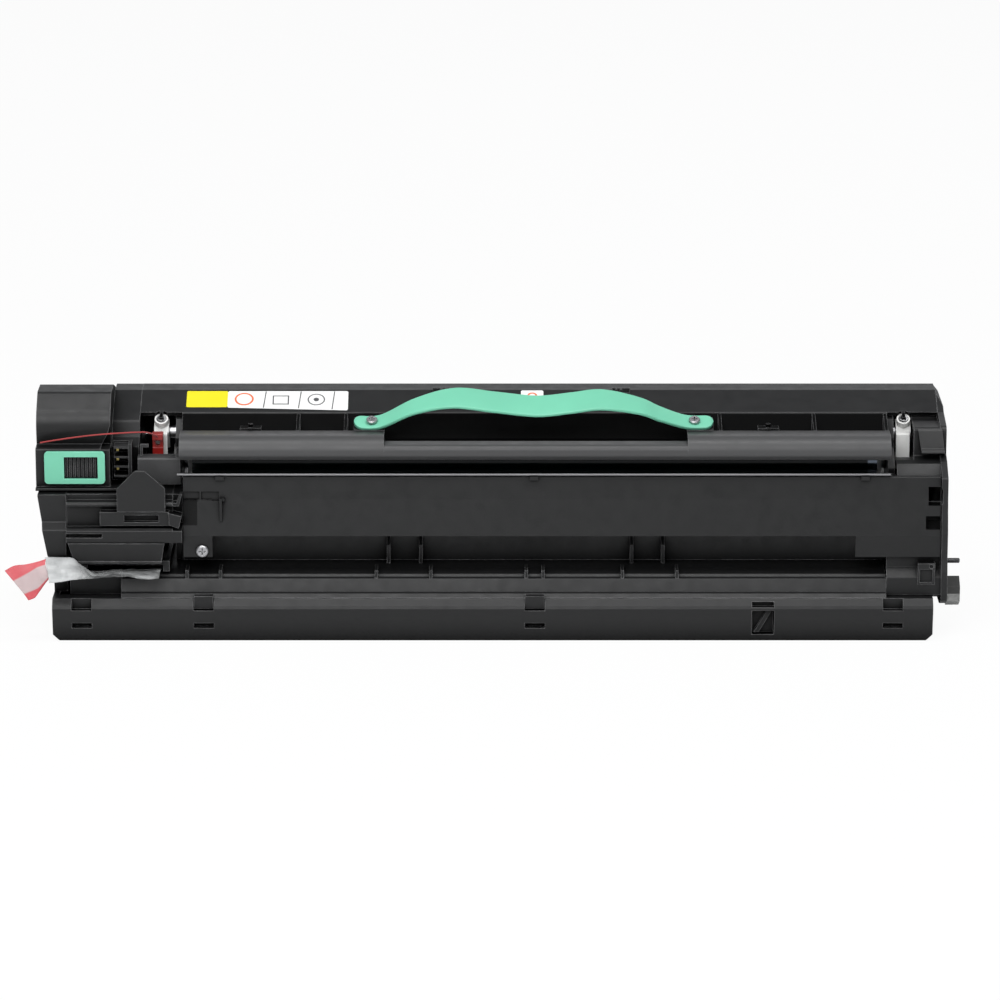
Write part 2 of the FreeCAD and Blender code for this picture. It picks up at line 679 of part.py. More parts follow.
def idler_pin():
    pin = rod(idler, idler_pin_radius, inner_right, developer_gear_x + gear_width + 1.4)
    head = rod(idler, idler_pin_radius + 1.5, developer_gear_x + gear_width + 0.4,
               developer_gear_x + gear_width + 1.4)
    return pin.fuse(head)


def drum_bushes():
    bushes = []
    for plate_x, side in ((left_plate_x, -1), (right_plate_x, 1)):
        sleeve_x = sorted((plate_x, plate_x - side * end_plate))
        collar_x = sorted((plate_x, plate_x + side * 2.0))
        bushing = rod(drum, bush_radius, *sleeve_x).fuse(rod(drum, bush_collar, *collar_x))
        bushes.append(bushing.cut(rod(drum, drum_shaft_radius + shaft_gap, plate_x - 5, plate_x + 5)))
    return group(*bushes)


# Charge roller in its two sprung holders
def charge_holder(x0, x1):
    block = tilted([(-5.0, -6.0), (-5.0, 4.6, 1.2), (-2.6, 6.0, 0.8), (2.6, 6.0, 0.8), (3.6, 4.6, 1.0),
                    (3.6, -6.0)], x0, x1)
    middle = (x0 + x1) / 2
    barrel = holder_cylinder(middle, barrel_radius, 3.0, spring_seat - charge_lift - sheet_gap)
    apron = prism([(-11.0, 78.5), (-11.0, 90.5, 1.0), (-8.2, 91.0), (-3.0, 83.0), (-8.8, 83.0),
                   (-8.8, 78.5)], x0, x1 - 0.6)
    return carve(join(block, barrel, apron), holder_cylinder(middle, 2.4, spring_foot, 14.0),
                 rod(charge, charge_shaft_radius + shaft_gap, x0 - 1, x1 + 1))


def charge_springs():
    springs = []
    for x in (charge_left_x, charge_right_x):
        start = V(x + holder_width / 2, charge[0], charge[1]) + outward * (spring_foot + 0.25)
        helix = Part.makeHelix(1.0, spring_seat - spring_foot - 0.5, 1.75)
        wire = Part.makePolygon([V(1.55, 0, -0.2), V(1.95, 0, -0.2), V(1.95, 0, 0.2), V(1.55, 0, 0.2),
                                 V(1.55, 0, -0.2)])
        coil = Part.Wire(helix).makePipeShell([wire], True, True)
        coil.Placement = FreeCAD.Placement(start, FreeCAD.Rotation(V(0, 0, 1), outward))
        springs.append(coil)
    return springs


def charge_roller():
    return ring(charge, charge_radius, charge_shaft_radius, inner_left + 6.0, inner_right - 6.0)


def charge_shaft():
    return rod(charge, charge_shaft_radius, charge_left_x + 1.0, charge_right_x + 6.0)


# Drum
def drum_tube():
    return ring(drum, drum_radius, drum_radius - drum_wall, drum_left, drum_right)


def drum_flange(rim_x, side):
    rim = rod(drum, drum_radius, *sorted((rim_x, rim_x + side * 2.0)))
    plug = rod(drum, drum_radius - drum_wall - shaft_gap, *sorted((rim_x, rim_x - side * 10.0)))
    return rim.fuse(plug).cut(rod(drum, drum_shaft_radius + shaft_gap, rim_x - 12, rim_x + 12))


def drum_shaft():
    shaft = rod(drum, drum_shaft_radius, left_plate_x - 6.0, right_end_x + 1.5)
    return shaft.makeChamfer(0.6, [shaft.Edges[0], shaft.Edges[2]])


# Developer roller
def developer_sleeve():
    left = inner_left + 7.0
    right = inner_right - 7.0
    sleeve = ring(developer, developer_radius, developer_radius - developer_wall, left, right)
    left_cap = ring(developer, developer_radius, 2.1, left - 2.0, left)
    left_neck = ring(developer, 4.0, 2.1, left - 6.0, left - 2.0)
    right_cap = rod(developer, developer_radius, right, right + 2.0)
    journal = rod(developer, auger_shaft_radius, right + 2.0, developer_gear_x + gear_width + 1.0)
    return join(sleeve, left_cap, left_neck, right_cap, journal)


def magnet_core():
    body = rod(developer, magnet_radius, inner_left + 9.0, inner_right - 9.0)
    return body.fuse(rod(developer, 2.0, left_plate_x - 3.0, inner_left + 9.0))


def doctor_blade():
    inside = recess_back + wall
    return prism([(inside, 57.2), (inside, 58.7), (-12.0, 58.7), (-12.0, 57.2)],
                 inner_left + 3.0, frame_right - wall - 0.4)


def roller_end_seals():
    left_wall = inner_left + 0.5 + wall
    right_wall = frame_right - wall
    return group(*[ring(developer, 6.2, 4.4, x0, x1)
                   for x0, x1 in ((left_wall, left_wall + 2.2), (right_wall - 0.8, right_wall - 0.1))])


def mixing_auger(axis, right):
    shaft = rod(axis, auger_shaft_radius, frame_left + 0.6, right)
    flight = screw_conveyor(axis, auger_radius, auger_shaft_radius, auger_pitch, frame_left + 6,
                            frame_right - 6, 10)
    return shaft.fuse(flight)


def waste_conveyor():
    shaft = rod(waste_auger, waste_shaft_radius, left_plate_x - 2.0, drum_gear_x + gear_width + 1.0)
    flight = screw_conveyor(waste_auger, waste_auger_radius, waste_shaft_radius, waste_pitch,
                            inner_left + 3, inner_right - 4, 8)
    return shaft.fuse(flight)


def drive_coupling():
    size = coupling_flats / math.sqrt(3)
    points = [polar(front_auger, 90 - 60 * i, size) for i in range(6)]
    head = prism(points, right_end_x + 0.6, coupling_end)
    return head.cut(rod(front_auger, auger_shaft_radius + shaft_gap, right_end_x, coupling_end - 2.0))


# Cleaning section
def cleaning_case():
    shell = [(band_end, ridge[1]), (22.0, ridge[1], 4.0), (case_rear, 100.0, 4.0), (case_rear, case_foot)]
    case = strip(shell, wall, window_x, right_end_x - end_wall)
    divider = prism([(7.4, 90.0), (band_end + 0.3, 106.0), (band_end + 1.8, 106.0), (8.9, 90.0)],
                    inner_left + 0.1, inner_right - 0.1)
    lip = prism([(26.4, case_foot - 0.6), (26.4, case_foot + 1.2), (case_rear - 1, case_foot + 1.2),
                 (case_rear - 1, case_foot)], inner_left + 0.1, inner_right - 0.1)
    holes = [post(x, case_rear + 1, 99.5 - 1.5, 1.6, 6, V(0, -1, 0)) for x in blade_screw_places]
    return carve(join(case, divider, lip), *holes)


def blade_point(along, aside):
    start = polar(blade_tip, blade_angle, along)
    return polar(start, blade_angle + 90, aside)


def cleaning_blade():
    return prism([blade_point(0, 0), blade_point(0, blade_thickness), blade_point(10.5, blade_thickness),
                  blade_point(10.5, 0)], inner_left + 6.0, inner_right - 6.0)


def blade_bracket():
    low = blade_point(7.0, blade_thickness)
    bend = blade_point(12.5, blade_thickness)
    sheet = [low, bend + (1.0,), (case_rear - wall - 1.2, bend[1] + 1.0, 1.0), (case_rear - wall - 1.2, 99.8)]
    sheet = [(p[0], p[1], radius_of(p)) for p in sheet]
    other = parallel(sheet, -1.2, False)
    bracket = prism(other + sheet[::-1], inner_left + 1.0, inner_right - 1.0)
    return carve(bracket, *[post(x, case_rear, 98.0, 1.3, 8, V(0, -1, 0)) for x in blade_screw_places])


def blade_screws():
    return group(*[cross_screw(x, case_rear, 98.0, V(0, 1, 0), 2.8, 1.25, 5.0) for x in blade_screw_places])


# Left end
def left_end_housing():
    bulge = [(-32.0, end_floor), (-32.0, 88.4, 1.0), (-24.8, 88.9, 0.5), (-26.4, 101.0, 12.0),
             (-14.5, 111.8, 3.0), (0.5, 111.8, 2.0), (12.0, 108.0, 3.0), (28.0, 100.0, 4.0),
             (29.0, end_floor + 1.8, 2.0), (27.0, end_floor)]
    inner = [(-20.0, end_floor), (-20.0, 86.5, 1.0), (-13.5, 90.0, 3.0), (-11.5, 97.0, 2.0),
             (band_low[0], band_low[1], 1.0), (ridge[0], ridge[1], 1.0), (22.0, ridge[1], 4.0),
             (28.0, 101.0, 4.0), (28.0, end_floor)]
    block = hollow(bulge, left_end_x, bulge_right, wall, 7.0)
    # The bulge leans in at its lower right corner
    corner = prism_front([(bulge_right - 4.6, 88.0), (bulge_right - 1.4, 94.0), (bulge_right + 0.6, 101.0),
                          (bulge_right + 1.0, 88.0)], -34.0, -20.0)
    side = hollow(inner, bulge_right, window_x, 0.0, wall)
    ledge = prism([(-36.0, end_floor + 0.7, 0.4), (-36.0, end_floor + 2.0, 0.4), (-19.0, end_floor + 2.0),
                   (-19.0, end_floor + 0.7)], left_end_x, window_x)
    # Floor and rear wall behind the window
    floor = strip([(28.0, case_foot - 0.3), (28.0, end_floor), (-20.0, end_floor)], wall, window_x - 1.0,
                  left_plate_x - sheet_gap)
    # The transport clip stands on this block
    clip_rest = box(clip_x - 1.9, clip_x + 2.1, -15.8, -12.6, end_floor + 1.0, clip_foot)
    shell = join(block.cut(corner), side, ledge, floor, clip_rest)
    pocket = box(bezel_x0 + 0.7, bezel_x1 - 0.7, -33.0, -27.0, bezel_z0 + 0.9, bezel_z1 - 0.9)
    return carve(shell, pocket, rod(drum, bush_collar + 0.6, left_plate_x - 8, left_plate_x))


def lock_bezel():
    plate = Part.makeBox(bezel_x1 - bezel_x0, bezel_thickness, bezel_z1 - bezel_z0,
                         V(bezel_x0, bezel_front, bezel_z0))
    corners = [edge for edge in plate.Edges if abs(edge.Length - bezel_thickness) < 0.01]
    plate = plate.makeFillet(1.8, corners)
    seat = bezel_front + bezel_thickness
    back_end = bezel_x1 - 0.7 - sheet_gap
    back = box(bezel_x0 + 1.0, back_end, seat, seat + 3.6, bezel_z0 + 1.2, bezel_z1 - 1.2)
    window = box(slot_x0, slot_x1, bezel_front - 1, seat + 1, slot_z0, slot_z1)
    # The slider is pushed in from the right, before the bezel goes into its housing
    channel = box(slot_x0 - slider_lap - slider_travel - sheet_gap, back_end + 1, seat, seat + 2.5,
                  slot_z0 - 2 * sheet_gap, slot_z1 + 2 * sheet_gap)
    return carve(plate.fuse(back), window, channel)


def lock_slider():
    seat = bezel_front + bezel_thickness
    x0 = slot_x0 - slider_lap
    x1 = bezel_x1 - 0.7 - sheet_gap
    plate = box(x0, x1, seat + 1.0, seat + 2.2, slot_z0 - sheet_gap, slot_z1 + sheet_gap)
    ribs = [box(slot_x0 + 0.5 + 1.9 * i, slot_x0 + 1.5 + 1.9 * i, seat + 0.25, seat + 1.1, slot_z0 + 0.5,
                slot_z1 - 0.5) for i in range(8)]
    return join(plate, *ribs)


def connector_block():
    x0 = connector_x - 9.0
    back = box(x0, connector_x, -23.0, -20.1, 72.4, 90.2)
    side = box(connector_x - 1.6, connector_x, -30.0, -22.0, 72.4, 90.2)
    fins = [prism([(-29.2, z), (-29.2, z + 0.9, 0.3), (-22.0, z + 1.6), (-22.0, z - 0.2)], x0 + 0.6,
                  connector_x - 1.0) for z in connector_fins]
    return join(back, side, *fins)


connector_fins = (74.0, 78.6, 83.2, 87.8)


def connector_contacts():
    x0 = connector_x - 7.6
    return group(*[box(x0, x0 + 1.1, -24.2, -23.0, z + 2.2, z + 3.4) for z in connector_fins[:3]])


def left_lower_cover():
    outline = [(-40.0, 36.5, 1.0), (-44.5, 39.5, 1.0), (-44.5, 52.0, 1.0), (-40.0, 55.0, 1.0), (-40.0, end_floor),
               (26.0, end_floor), (26.0, 60.0, 3.0), (tray_rear, 44.0, 3.0), (tray_rear, tray_height),
               (-38.0, tray_height)]
    x0 = left_end_x + 1.2
    x1 = inlet_left - 0.2
    # The side leans in towards the tray
    lean = [(x0 - 9, 10.0), (x0 - 9, 75.0), (x0, 75.0), (x0, end_floor - 1.0), (x0 + 2.2, 52.0),
            (x0 + 4.6, 39.0), (tray_left, 36.0), (tray_left, 10.0)]
    inner_lean = [(x + wall, z) if x > x0 - 9 else (x, z) for x, z in lean]
    outside = prism(outline, x0, x1).cut(prism_front(lean, -70, 50))
    inside = prism(parallel(outline, wall, True), x0 - 1, x1 - wall).cut(prism_front(inner_lean, -70, 50))
    return outside.cut(inside)


# Toner inlet at the left of the developer case
def toner_inlet_housing():
    left = inlet_left
    right = left_plate_x - 0.2
    back = tray_rear - 4
    low = inlet_band_foot
    top = inlet_band_top
    upper = prism([(-40.0, top), (-40.0, 62.8), (-42.6, 63.2, 0.3), (-42.6, 64.2, 0.5), (-41.6, 65.0, 0.3),
                   (-38.5, 65.4, 0.5), (-38.5, end_floor), (back, end_floor), (back, top)], left, right)
    band = prism([(-46.0, low, 0.6), (-46.0, top - 0.9, 0.6), (-44.5, top), (back, top), (back, low)], left, right)
    nose = prism([(-46.0, low, 0.6), (-46.0, top - 0.9, 0.6), (-38.0, top + 1.1), (-38.0, 68.0),
                  (recess_back - 1, 68.0), (recess_back - 1, low)], right, inlet_right)
    block = box(left + 15.9, left + 48.4, -44.2, -40.0, top + 1.3, top + 7.9)
    slant = prism_front([(left + 48.6, top + 1.6), (left + 48.2, top + 7.6), (inlet_right - 0.2, top + 6.0),
                         (inlet_right - 1.6, top + 0.2)], -45.0, -37.5)
    rail = prism_front([(left + 47.0, 63.2), (left + 47.0, 64.8), (inlet_right - 2.6, 64.8),
                        (inlet_right - 1.0, 69.0), (inlet_right, 69.0), (inlet_right - 1.6, 63.2)], -42.4, -37.5)
    chute = prism_front([(left + 44.6, chute_foot), (left + 3.8, chute_foot), (left + 0.8, low),
                         (left + 46.2, low)], -46.6, back)
    chute_lip = prism_front([(left + 44.6, chute_foot), (left + 3.8, chute_foot), (left + 3.6, chute_foot + 0.9),
                             (left + 44.8, chute_foot + 0.9)], -47.4, -46.0)
    foot = box(left + 1.2, left + 48.2, -42.5, back, lid_height + 0.1, chute_foot)
    skirt = box(left + 1.2, frame_left - sheet_gap, -42.5, back, tray_height, lid_height + 0.1)
    inlet = join(upper, band, nose, block, slant, rail, chute, chute_lip, foot, skirt)
    slots = [rod(drum, bush_collar + 0.6, left_plate_x - 8, left_plate_x),
             rod(developer, 2.6, left_plate_x - 5, left_plate_x),
             box(left + 27.3, left + 43.6, -45.0, -41.6, top + 3.1, top + 6.4),
             box(left - 1, left + 16.9, -47.0, -43.0, top - 4.1, top - 2.2),
             box(left + 9.2, left + 45.2, -47.0, -34.0, lid_height + 0.1, lid_height + 3.2)]
    well = box(left + 4.2, left + 46.2, -36.0, 1.0, lid_height - 7.4, 62.0)
    return carve(inlet, *(slots + [well]))


def inlet_shutter():
    left = inlet_left + 24.1
    right = inlet_left + 46.8
    outline = [(left, inlet_band_top + 8.2), (left, 72.2, 1.5), (left + 8.5, 80.8, 1.5), (right - 9.3, 80.8, 1.5),
               (right, 72.6, 1.5), (right, inlet_band_top + 8.2)]
    return prism_front(outline, -44.8, -42.9)


# Transport clip in the left window, with its thread
def transport_clip():
    x0 = clip_x - 2.4
    x1 = clip_x + 2.6
    body = box(x0, x1, -15.2, -12.4, clip_foot, clip_top)
    wedge = prism([(-17.4, clip_top - 3.0), (-17.4, clip_top, 0.6), (-15.2, clip_top), (-15.2, clip_top - 3.0)],
                  x0, x1)
    step = prism([(-16.0, clip_foot), (-16.0, clip_top - 7.0, 0.5), (-15.2, clip_top - 6.6),
                  (-15.2, clip_foot)], x0, x1)
    eye = post(clip_x, -19.0, clip_top - 5.0, 1.2, 9.0, V(0, 1, 0))
    return join(body, wedge, step).cut(eye)


def clip_thread():
    spots = [V(*spot) for spot in thread_route]
    edges = []
    leave = spots[0]
    for before, here, after in zip(spots, spots[1:], spots[2:]):
        turn = (here - before).getAngle(after - here)
        shorter = min((here - before).Length, (after - here).Length)
        radius = 0.45 * shorter / math.tan(turn / 2)
        print("thread radius", round(radius, 1), "turn", round(math.degrees(turn), 1))
        enter, middle, out = round_corner(before, here, after, radius)
        edges.append(Part.LineSegment(leave, enter).toShape())
        edges.append(Part.Arc(enter, middle, out).toShape())
        leave = out
    edges.append(Part.LineSegment(leave, spots[-1]).toShape())
    path = Part.Wire(edges)
    circle = Part.Wire(Part.makeCircle(thread_radius, spots[0], spots[1] - spots[0]))
    tube = path.makePipeShell([circle], True, True)
    print("thread length", round(path.Length, 1), "volume share",
          round(tube.Volume / (math.pi * thread_radius ** 2 * path.Length), 3))
    return tube


# Right end
def right_end_cover():
    face_x = right_end_x - end_wall
    outline = [(-46.0, tray_height + 0.3), (-45.0, lid_height - 2.4, 1.0), (-41.0, lid_height + 2.1, 1.0),
               (-41.0, 49.8, 1.0), (-36.2, 55.0, 1.0), (-36.2, 75.0, 1.5), (-31.0, 81.0, 1.0), (-24.0, 83.0, 1.0),
               (-24.0, 96.6, 2.0), (-7.2, 97.0, 0.5), (8.4, 104.4, 0.5), (20.5, 104.6, 4.0), (27.7, 98.5, 3.0),
               (27.7, 60.0, 3.0), (tray_rear + 3, 42.0, 2.0), (tray_rear + 3, tray_height + 0.3)]
    shell = hollow(outline, right_plate_x + 0.2, face_x, 0.0, 0.0)
    end = [(-38.0, 14.5, 3.0), (-46.5, 18.0, 2.0), (-47.4, 22.0, 1.0), (-46.0, 32.0, 1.0), (-44.4, 38.0, 2.0),
           (-44.4, 50.0, 2.0), (-40.8, 66.0, 2.0), (-40.5, 76.0, 1.5), (-31.0, 82.0, 1.0), (-25.0, 84.0, 1.0),
           (-25.0, 97.0, 3.0), (-7.0, 100.1, 1.0), (8.0, 107.4, 1.0), (22.0, 107.4, 4.0), (30.0, 100.4, 4.0),
           (30.0, 60.0, 3.0), (tray_rear + 4, 42.0, 2.0), (tray_rear + 4, 14.5, 2.0)]
    side = prism(end, face_x, right_end_x)
    # The lower front closes the gap beside the developer case
    apron = strip([(-46.0, tray_height + 0.3), (-45.0, lid_height - 2.4, 1.0), (-41.0, lid_height + 2.1, 1.0),
                   (-41.0, 47.0)], wall, frame_right + sheet_gap, right_plate_x + 1.0)
    boss = rod(drum, 8.8, right_end_x, right_end_x + 2.0)
    step = rod(drum, 10.5, right_end_x, right_end_x + 0.9)
    pin_boss = rod(pin_axis, 3.0, face_x - 6.0, face_x)
    post_box = box(face_x - 11.0, face_x - 2.9, -45.6, -41.5, lid_height - 5.6, lid_height + 4.7)
    cover = join(shell, side, apron, boss, step, pin_boss, post_box)
    window = box(right_plate_x - 1, right_plate_x + 8.6, -30.0, -1.0, 82.0, 99.5)
    gear_room = module * drum_teeth / 2 + 1.6
    corner = prism_front([(right_end_x - 4.1, 108.2), (right_end_x + 0.2, 101.8), (right_end_x + 4, 101.8),
                          (right_end_x + 4, 112.0), (right_end_x - 4.1, 112.0)], -20.0, 40.0)
    openings = [window, corner, rod(drum, gear_room, drum_gear_x - 0.8, drum_gear_x + gear_width + 0.8),
                rod(drum, 6.4, face_x - 7, right_end_x + 5), rod(front_auger, 4.05, face_x - 7, right_end_x + 5),
                rod(pin_axis, pin_root_radius + shaft_gap, face_x - 7, right_end_x + 5),
                box(right_plate_x, face_x - 9.0, -43.4, 6.0, tray_height - 0.5, tray_height + 3.0),
                box(face_x - 9.0, face_x, front_auger[0] - 5, front_auger[0] + 5, tray_height - 0.5,
                    tray_height + 3.5),
                box(face_x - 6.5, face_x + 0.5, -42.0, -33.0, 64.0, 71.0),
                post(face_x - 4.6, -47.0, lid_height + 3.2, 1.0, 2.0, V(0, 1, 0)),
                box(face_x - 10.0, face_x - 3.9, -47.0, -44.6, lid_height - 4.6, lid_height + 1.8)]
    return carve(cover, *openings)


def locating_pin():
    pin = rod(pin_axis, pin_radius, right_end_x, pin_end)
    pin = pin.makeChamfer(0.4, [pin.Edges[0]])
    return pin.fuse(rod(pin_axis, pin_root_radius, right_end_x - end_wall - 5.5, right_end_x))


def grip_pad():
    # Seen from the front it narrows a little towards its lower lip
    section = prism([(-27.6, 84.8, 0.6), (-28.6, 85.4, 0.4), (-28.4, 86.6, 0.4), (-26.6, 87.2, 0.6),
                     (-26.2, 96.2, 1.2), (-25.0, 96.6), (-25.0, 84.8)], right_end_x - 20, right_end_x + 4)
    front = prism_front([(right_end_x - 11.6, 84.0), (right_end_x - 13.8, 97.5), (right_end_x - 2.4, 97.5),
                         (right_end_x - 0.7, 84.0)], -40.0, -20.0)
    return section.common(front)


def toner_sensor():
    x0 = sensor_left + 0.4
    x1 = sensor_right - 0.4
    body = box(x0, x1, tray_front + 2.5, tray_front + 6, 3.8, crease[1] - 1.0)
    fin = prism_front([(x0 + 0.6, 4.2), (x0 + 6.6, crease[1] - 1.4), (x0 + 9.0, crease[1] - 1.4), (x0 + 3.0, 4.2)],
                      tray_front + 0.6, tray_front + 3.0)
    return body.fuse(fin)


def cover_screws():
    return group(cross_screw(cover_screw_place[0], cover_skirt, cover_screw_place[1], V(0, -1, 0), 2.9, 1.2, 12.0))


# Film and tape that seal the developer until first use
def seal_film():
    sheet = [(-36.0, lid_height + 2.2), (-47.0, lid_height + 1.6, 6.0), (-57.0, lid_height - 1.4, 5.0),
             (-58.0, lid_height - 4.8)]
    film = strip(sheet, 0.5, tray_left - 0.1, inlet_left + 44.2)
    return film.cut(box(tray_left - 30, inlet_left + 9.8, -46.9, 0.0, lid_height - 12, lid_height + 10))


def pull_tape():
    root = tray_left - 0.4
    top_left = V(root - 21.2, -50.0, lid_height + 2.4)
    along = V(root - 1.7, -48.5, lid_height + 8.0) - top_left
    down = V(root - 10.7, -57.0, lid_height - 9.9) - top_left
    spots = [top_left, top_left + along, top_left + along * 1.3 + down * 0.6, top_left + along * 0.9 + down * 0.85,
             top_left + along * 0.3 + down * 1.0, top_left + down]
    normal = along.cross(down).normalize()
    tape = Part.Face(Part.makePolygon(spots + [spots[0]])).extrude(normal * 0.4)
    return tape.cut(box(root, root + 27, -70.0, -30.0, lid_height - 21, lid_height + 19))


def build():
    drum_phase = 0.0
    waste_phase = meshed_phase(drum, drum_teeth, drum_phase, waste_auger, waste_teeth)
    front_phase = 0.0
    rear_phase = meshed_phase(front_auger, auger_teeth, front_phase, rear_auger, auger_teeth)
    idler_phase = meshed_phase(rear_auger, auger_teeth, rear_phase, idler, idler_teeth)
    developer_phase = meshed_phase(idler, idler_teeth, idler_phase, developer, developer_teeth)
    bore = auger_shaft_radius + shaft_gap
    return {
        "developer_lower_case": developer_lower_case(),
        "developer_upper_case": developer_upper_case(),
        "front_cover": front_cover(),
        "cover_screws": cover_screws(),
        "slit_rod": slit_rod(),
        "upper_housing": upper_housing(),
        "cleaning_case": cleaning_case(),
        "left_end_plate": left_end_plate(),
        "right_end_plate": right_end_plate(),
        "left_end_housing": left_end_housing(),
        "left_lower_cover": left_lower_cover(),
        "right_end_cover": right_end_cover(),
        "grip_pad": grip_pad(),
        "locating_pin": locating_pin(),
        "handle_strap": handle_strap(),
        "handle_screws": handle_screws(),
        "lock_bezel": lock_bezel(),
        "lock_slider": lock_slider(),
        "connector_block": connector_block(),
        "connector_contacts": connector_contacts(),
        "toner_inlet_housing": toner_inlet_housing(),
        "inlet_shutter": inlet_shutter(),
        "transport_clip": transport_clip(),
        "clip_thread": clip_thread(),
        "charge_holder_left": charge_holder(charge_left_x, charge_left_x + holder_width),
        "charge_holder_right": charge_holder(charge_right_x, charge_right_x + holder_width),
        "charge_roller": charge_roller(),
        "charge_shaft": charge_shaft(),
        "charge_spring_left": charge_springs()[0],
        "charge_spring_right": charge_springs()[1],
        "drum_tube": drum_tube(),
        "drum_flange_left": drum_flange(drum_left, -1),
        "drum_flange_right": drum_flange(drum_right, 1),
        "drum_shaft": drum_shaft(),
        "drum_bushes": drum_bushes(),
        "drum_gear": gear(drum, drum_teeth, drum_phase, drum_gear_x, drum_shaft_radius + shaft_gap),
        "waste_auger": waste_conveyor(),
        "waste_gear": gear(waste_auger, waste_teeth, waste_phase, drum_gear_x, waste_shaft_radius + shaft_gap),
        "cleaning_blade": cleaning_blade(),
        "blade_bracket": blade_bracket(),
        "blade_screws": blade_screws(),
        "developer_sleeve": developer_sleeve(),
        "magnet_core": magnet_core(),
        "doctor_blade": doctor_blade(),
        "roller_end_seals": roller_end_seals(),
        "developer_gear": gear(developer, developer_teeth, developer_phase, developer_gear_x, bore),
        "idler_gear": gear(idler, idler_teeth, idler_phase, developer_gear_x, idler_pin_radius + shaft_gap),
        "idler_pin": idler_pin(),
        "front_auger": mixing_auger(front_auger, coupling_end - 2.2),
        "front_auger_gear": gear(front_auger, auger_teeth, front_phase, developer_gear_x, bore),
        "rear_auger": mixing_auger(rear_auger, developer_gear_x + gear_width + 1.0),
        "rear_auger_gear": gear(rear_auger, auger_teeth, rear_phase, developer_gear_x, bore),
        "drive_coupling": drive_coupling(),
        "toner_sensor": toner_sensor(),
        "seal_film": seal_film(),
        "pull_tape": pull_tape(),
    }


def main():
    os.makedirs("parts", exist_ok=True)
    for name, shape in build().items():
        shape.exportStep("parts/" + name + ".step")


main()
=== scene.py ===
import bpy
import json
import math
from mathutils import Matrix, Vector, noise


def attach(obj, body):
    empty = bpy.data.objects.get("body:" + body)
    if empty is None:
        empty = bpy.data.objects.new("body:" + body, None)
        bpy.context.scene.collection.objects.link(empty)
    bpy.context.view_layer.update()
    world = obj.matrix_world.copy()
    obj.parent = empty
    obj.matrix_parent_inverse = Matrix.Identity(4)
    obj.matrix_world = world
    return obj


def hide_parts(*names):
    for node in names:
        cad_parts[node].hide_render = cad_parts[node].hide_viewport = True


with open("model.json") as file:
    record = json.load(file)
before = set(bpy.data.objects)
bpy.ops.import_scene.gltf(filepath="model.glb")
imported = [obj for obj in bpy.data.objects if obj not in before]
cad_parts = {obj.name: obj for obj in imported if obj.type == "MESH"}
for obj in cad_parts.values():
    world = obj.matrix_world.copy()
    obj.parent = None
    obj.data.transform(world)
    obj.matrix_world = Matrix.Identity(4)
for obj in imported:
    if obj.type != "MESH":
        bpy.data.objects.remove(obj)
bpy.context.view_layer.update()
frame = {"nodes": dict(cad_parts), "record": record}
cad = frame["nodes"]
mm = 0.001
print("frame loaded:", len(cad), "nodes")


def inMetres(spot):
    return Vector(spot) * mm


# Camera and studio, in metres and degrees; each lamp has its place, its size and its watts
studio = {
    "aimAt": (0.004, -0.020, 0.0603),
    "elevation": 15.0,
    "distance": 2.375,
    "lens": 180.0,
    "sensor": 36.0,
    "nearest": 0.05,
    "farthest": 50.0,
    "worldColor": (0.93, 0.96, 1.0, 1.0),
    "worldStrength": 0.34,
    "lamps": {
        "topLamp": ((0.05, -0.42, 1.5), (1.9, 0.5), 17.0),
        "frontLamp": ((-0.35, -1.7, 1.25), (1.6, 0.9), 23.0),
        "rearLamp": ((0.2, 1.5, 0.9), (1.6, 0.6), 2.5),
    },
    "floorReach": 9.0,
    "floorLevel": -0.0002,
    "floorWhite": 0.82,
    "floorGlow": 0.94,
}


def placeCamera():
    turn = math.radians(studio["elevation"])
    data = bpy.data.cameras.new("camera")
    data.lens = studio["lens"]
    data.sensor_width = studio["sensor"]
    data.clip_start = studio["nearest"]
    data.clip_end = studio["farthest"]
    camera = bpy.data.objects.new("camera", data)
    away = Vector((0.0, -math.cos(turn), math.sin(turn)))
    camera.location = Vector(studio["aimAt"]) + away * studio["distance"]
    camera.rotation_euler = (math.pi / 2 - turn, 0.0, 0.0)
    bpy.context.collection.objects.link(camera)
    bpy.context.scene.camera = camera


def softLamp(name, place, size, watts):
    data = bpy.data.lights.new(name, "AREA")
    data.shape = "RECTANGLE"
    data.size, data.size_y = size
    data.energy = watts
    lamp = bpy.data.objects.new(name, data)
    lamp.location = place
    towards = Vector(studio["aimAt"]) - Vector(place)
    lamp.rotation_euler = towards.to_track_quat("-Z", "Y").to_euler()
    bpy.context.collection.objects.link(lamp)


def connect(tree, value, socket):
    # A socket is linked, and a plain value is written in
    if isinstance(value, bpy.types.NodeSocket):
        tree.links.new(value, socket)
    else:
        socket.default_value = value


def addNode(tree, kind, settings=None, **inputs):
    node = tree.nodes.new(kind if kind.startswith("Geometry") else "ShaderNode" + kind)
    for key, value in (settings or {}).items():
        setattr(node, key, value)
    for key, value in inputs.items():
        connect(tree, value, node.inputs[key.replace("_", " ")])
    return node


def number(tree, operation, first, second=None, clamp=False):
    node = addNode(tree, "Math", {"operation": operation, "use_clamp": clamp})
    connect(tree, first, node.inputs[0])
    if second is not None:
        connect(tree, second, node.inputs[1])
    return node.outputs[0]


def vectors(tree, operation, first, second):
    node = addNode(tree, "VectorMath", {"operation": operation})
    connect(tree, first, node.inputs[0])
    connect(tree, second, node.inputs[1])
    return node


def seenDirectly(tree):
    # 1 where the camera looks, straight or through something clear, so that it sees white there
    rays = addNode(tree, "LightPath").outputs
    return number(tree, "MAXIMUM", rays["Is Camera Ray"], rays["Is Transmission Ray"])


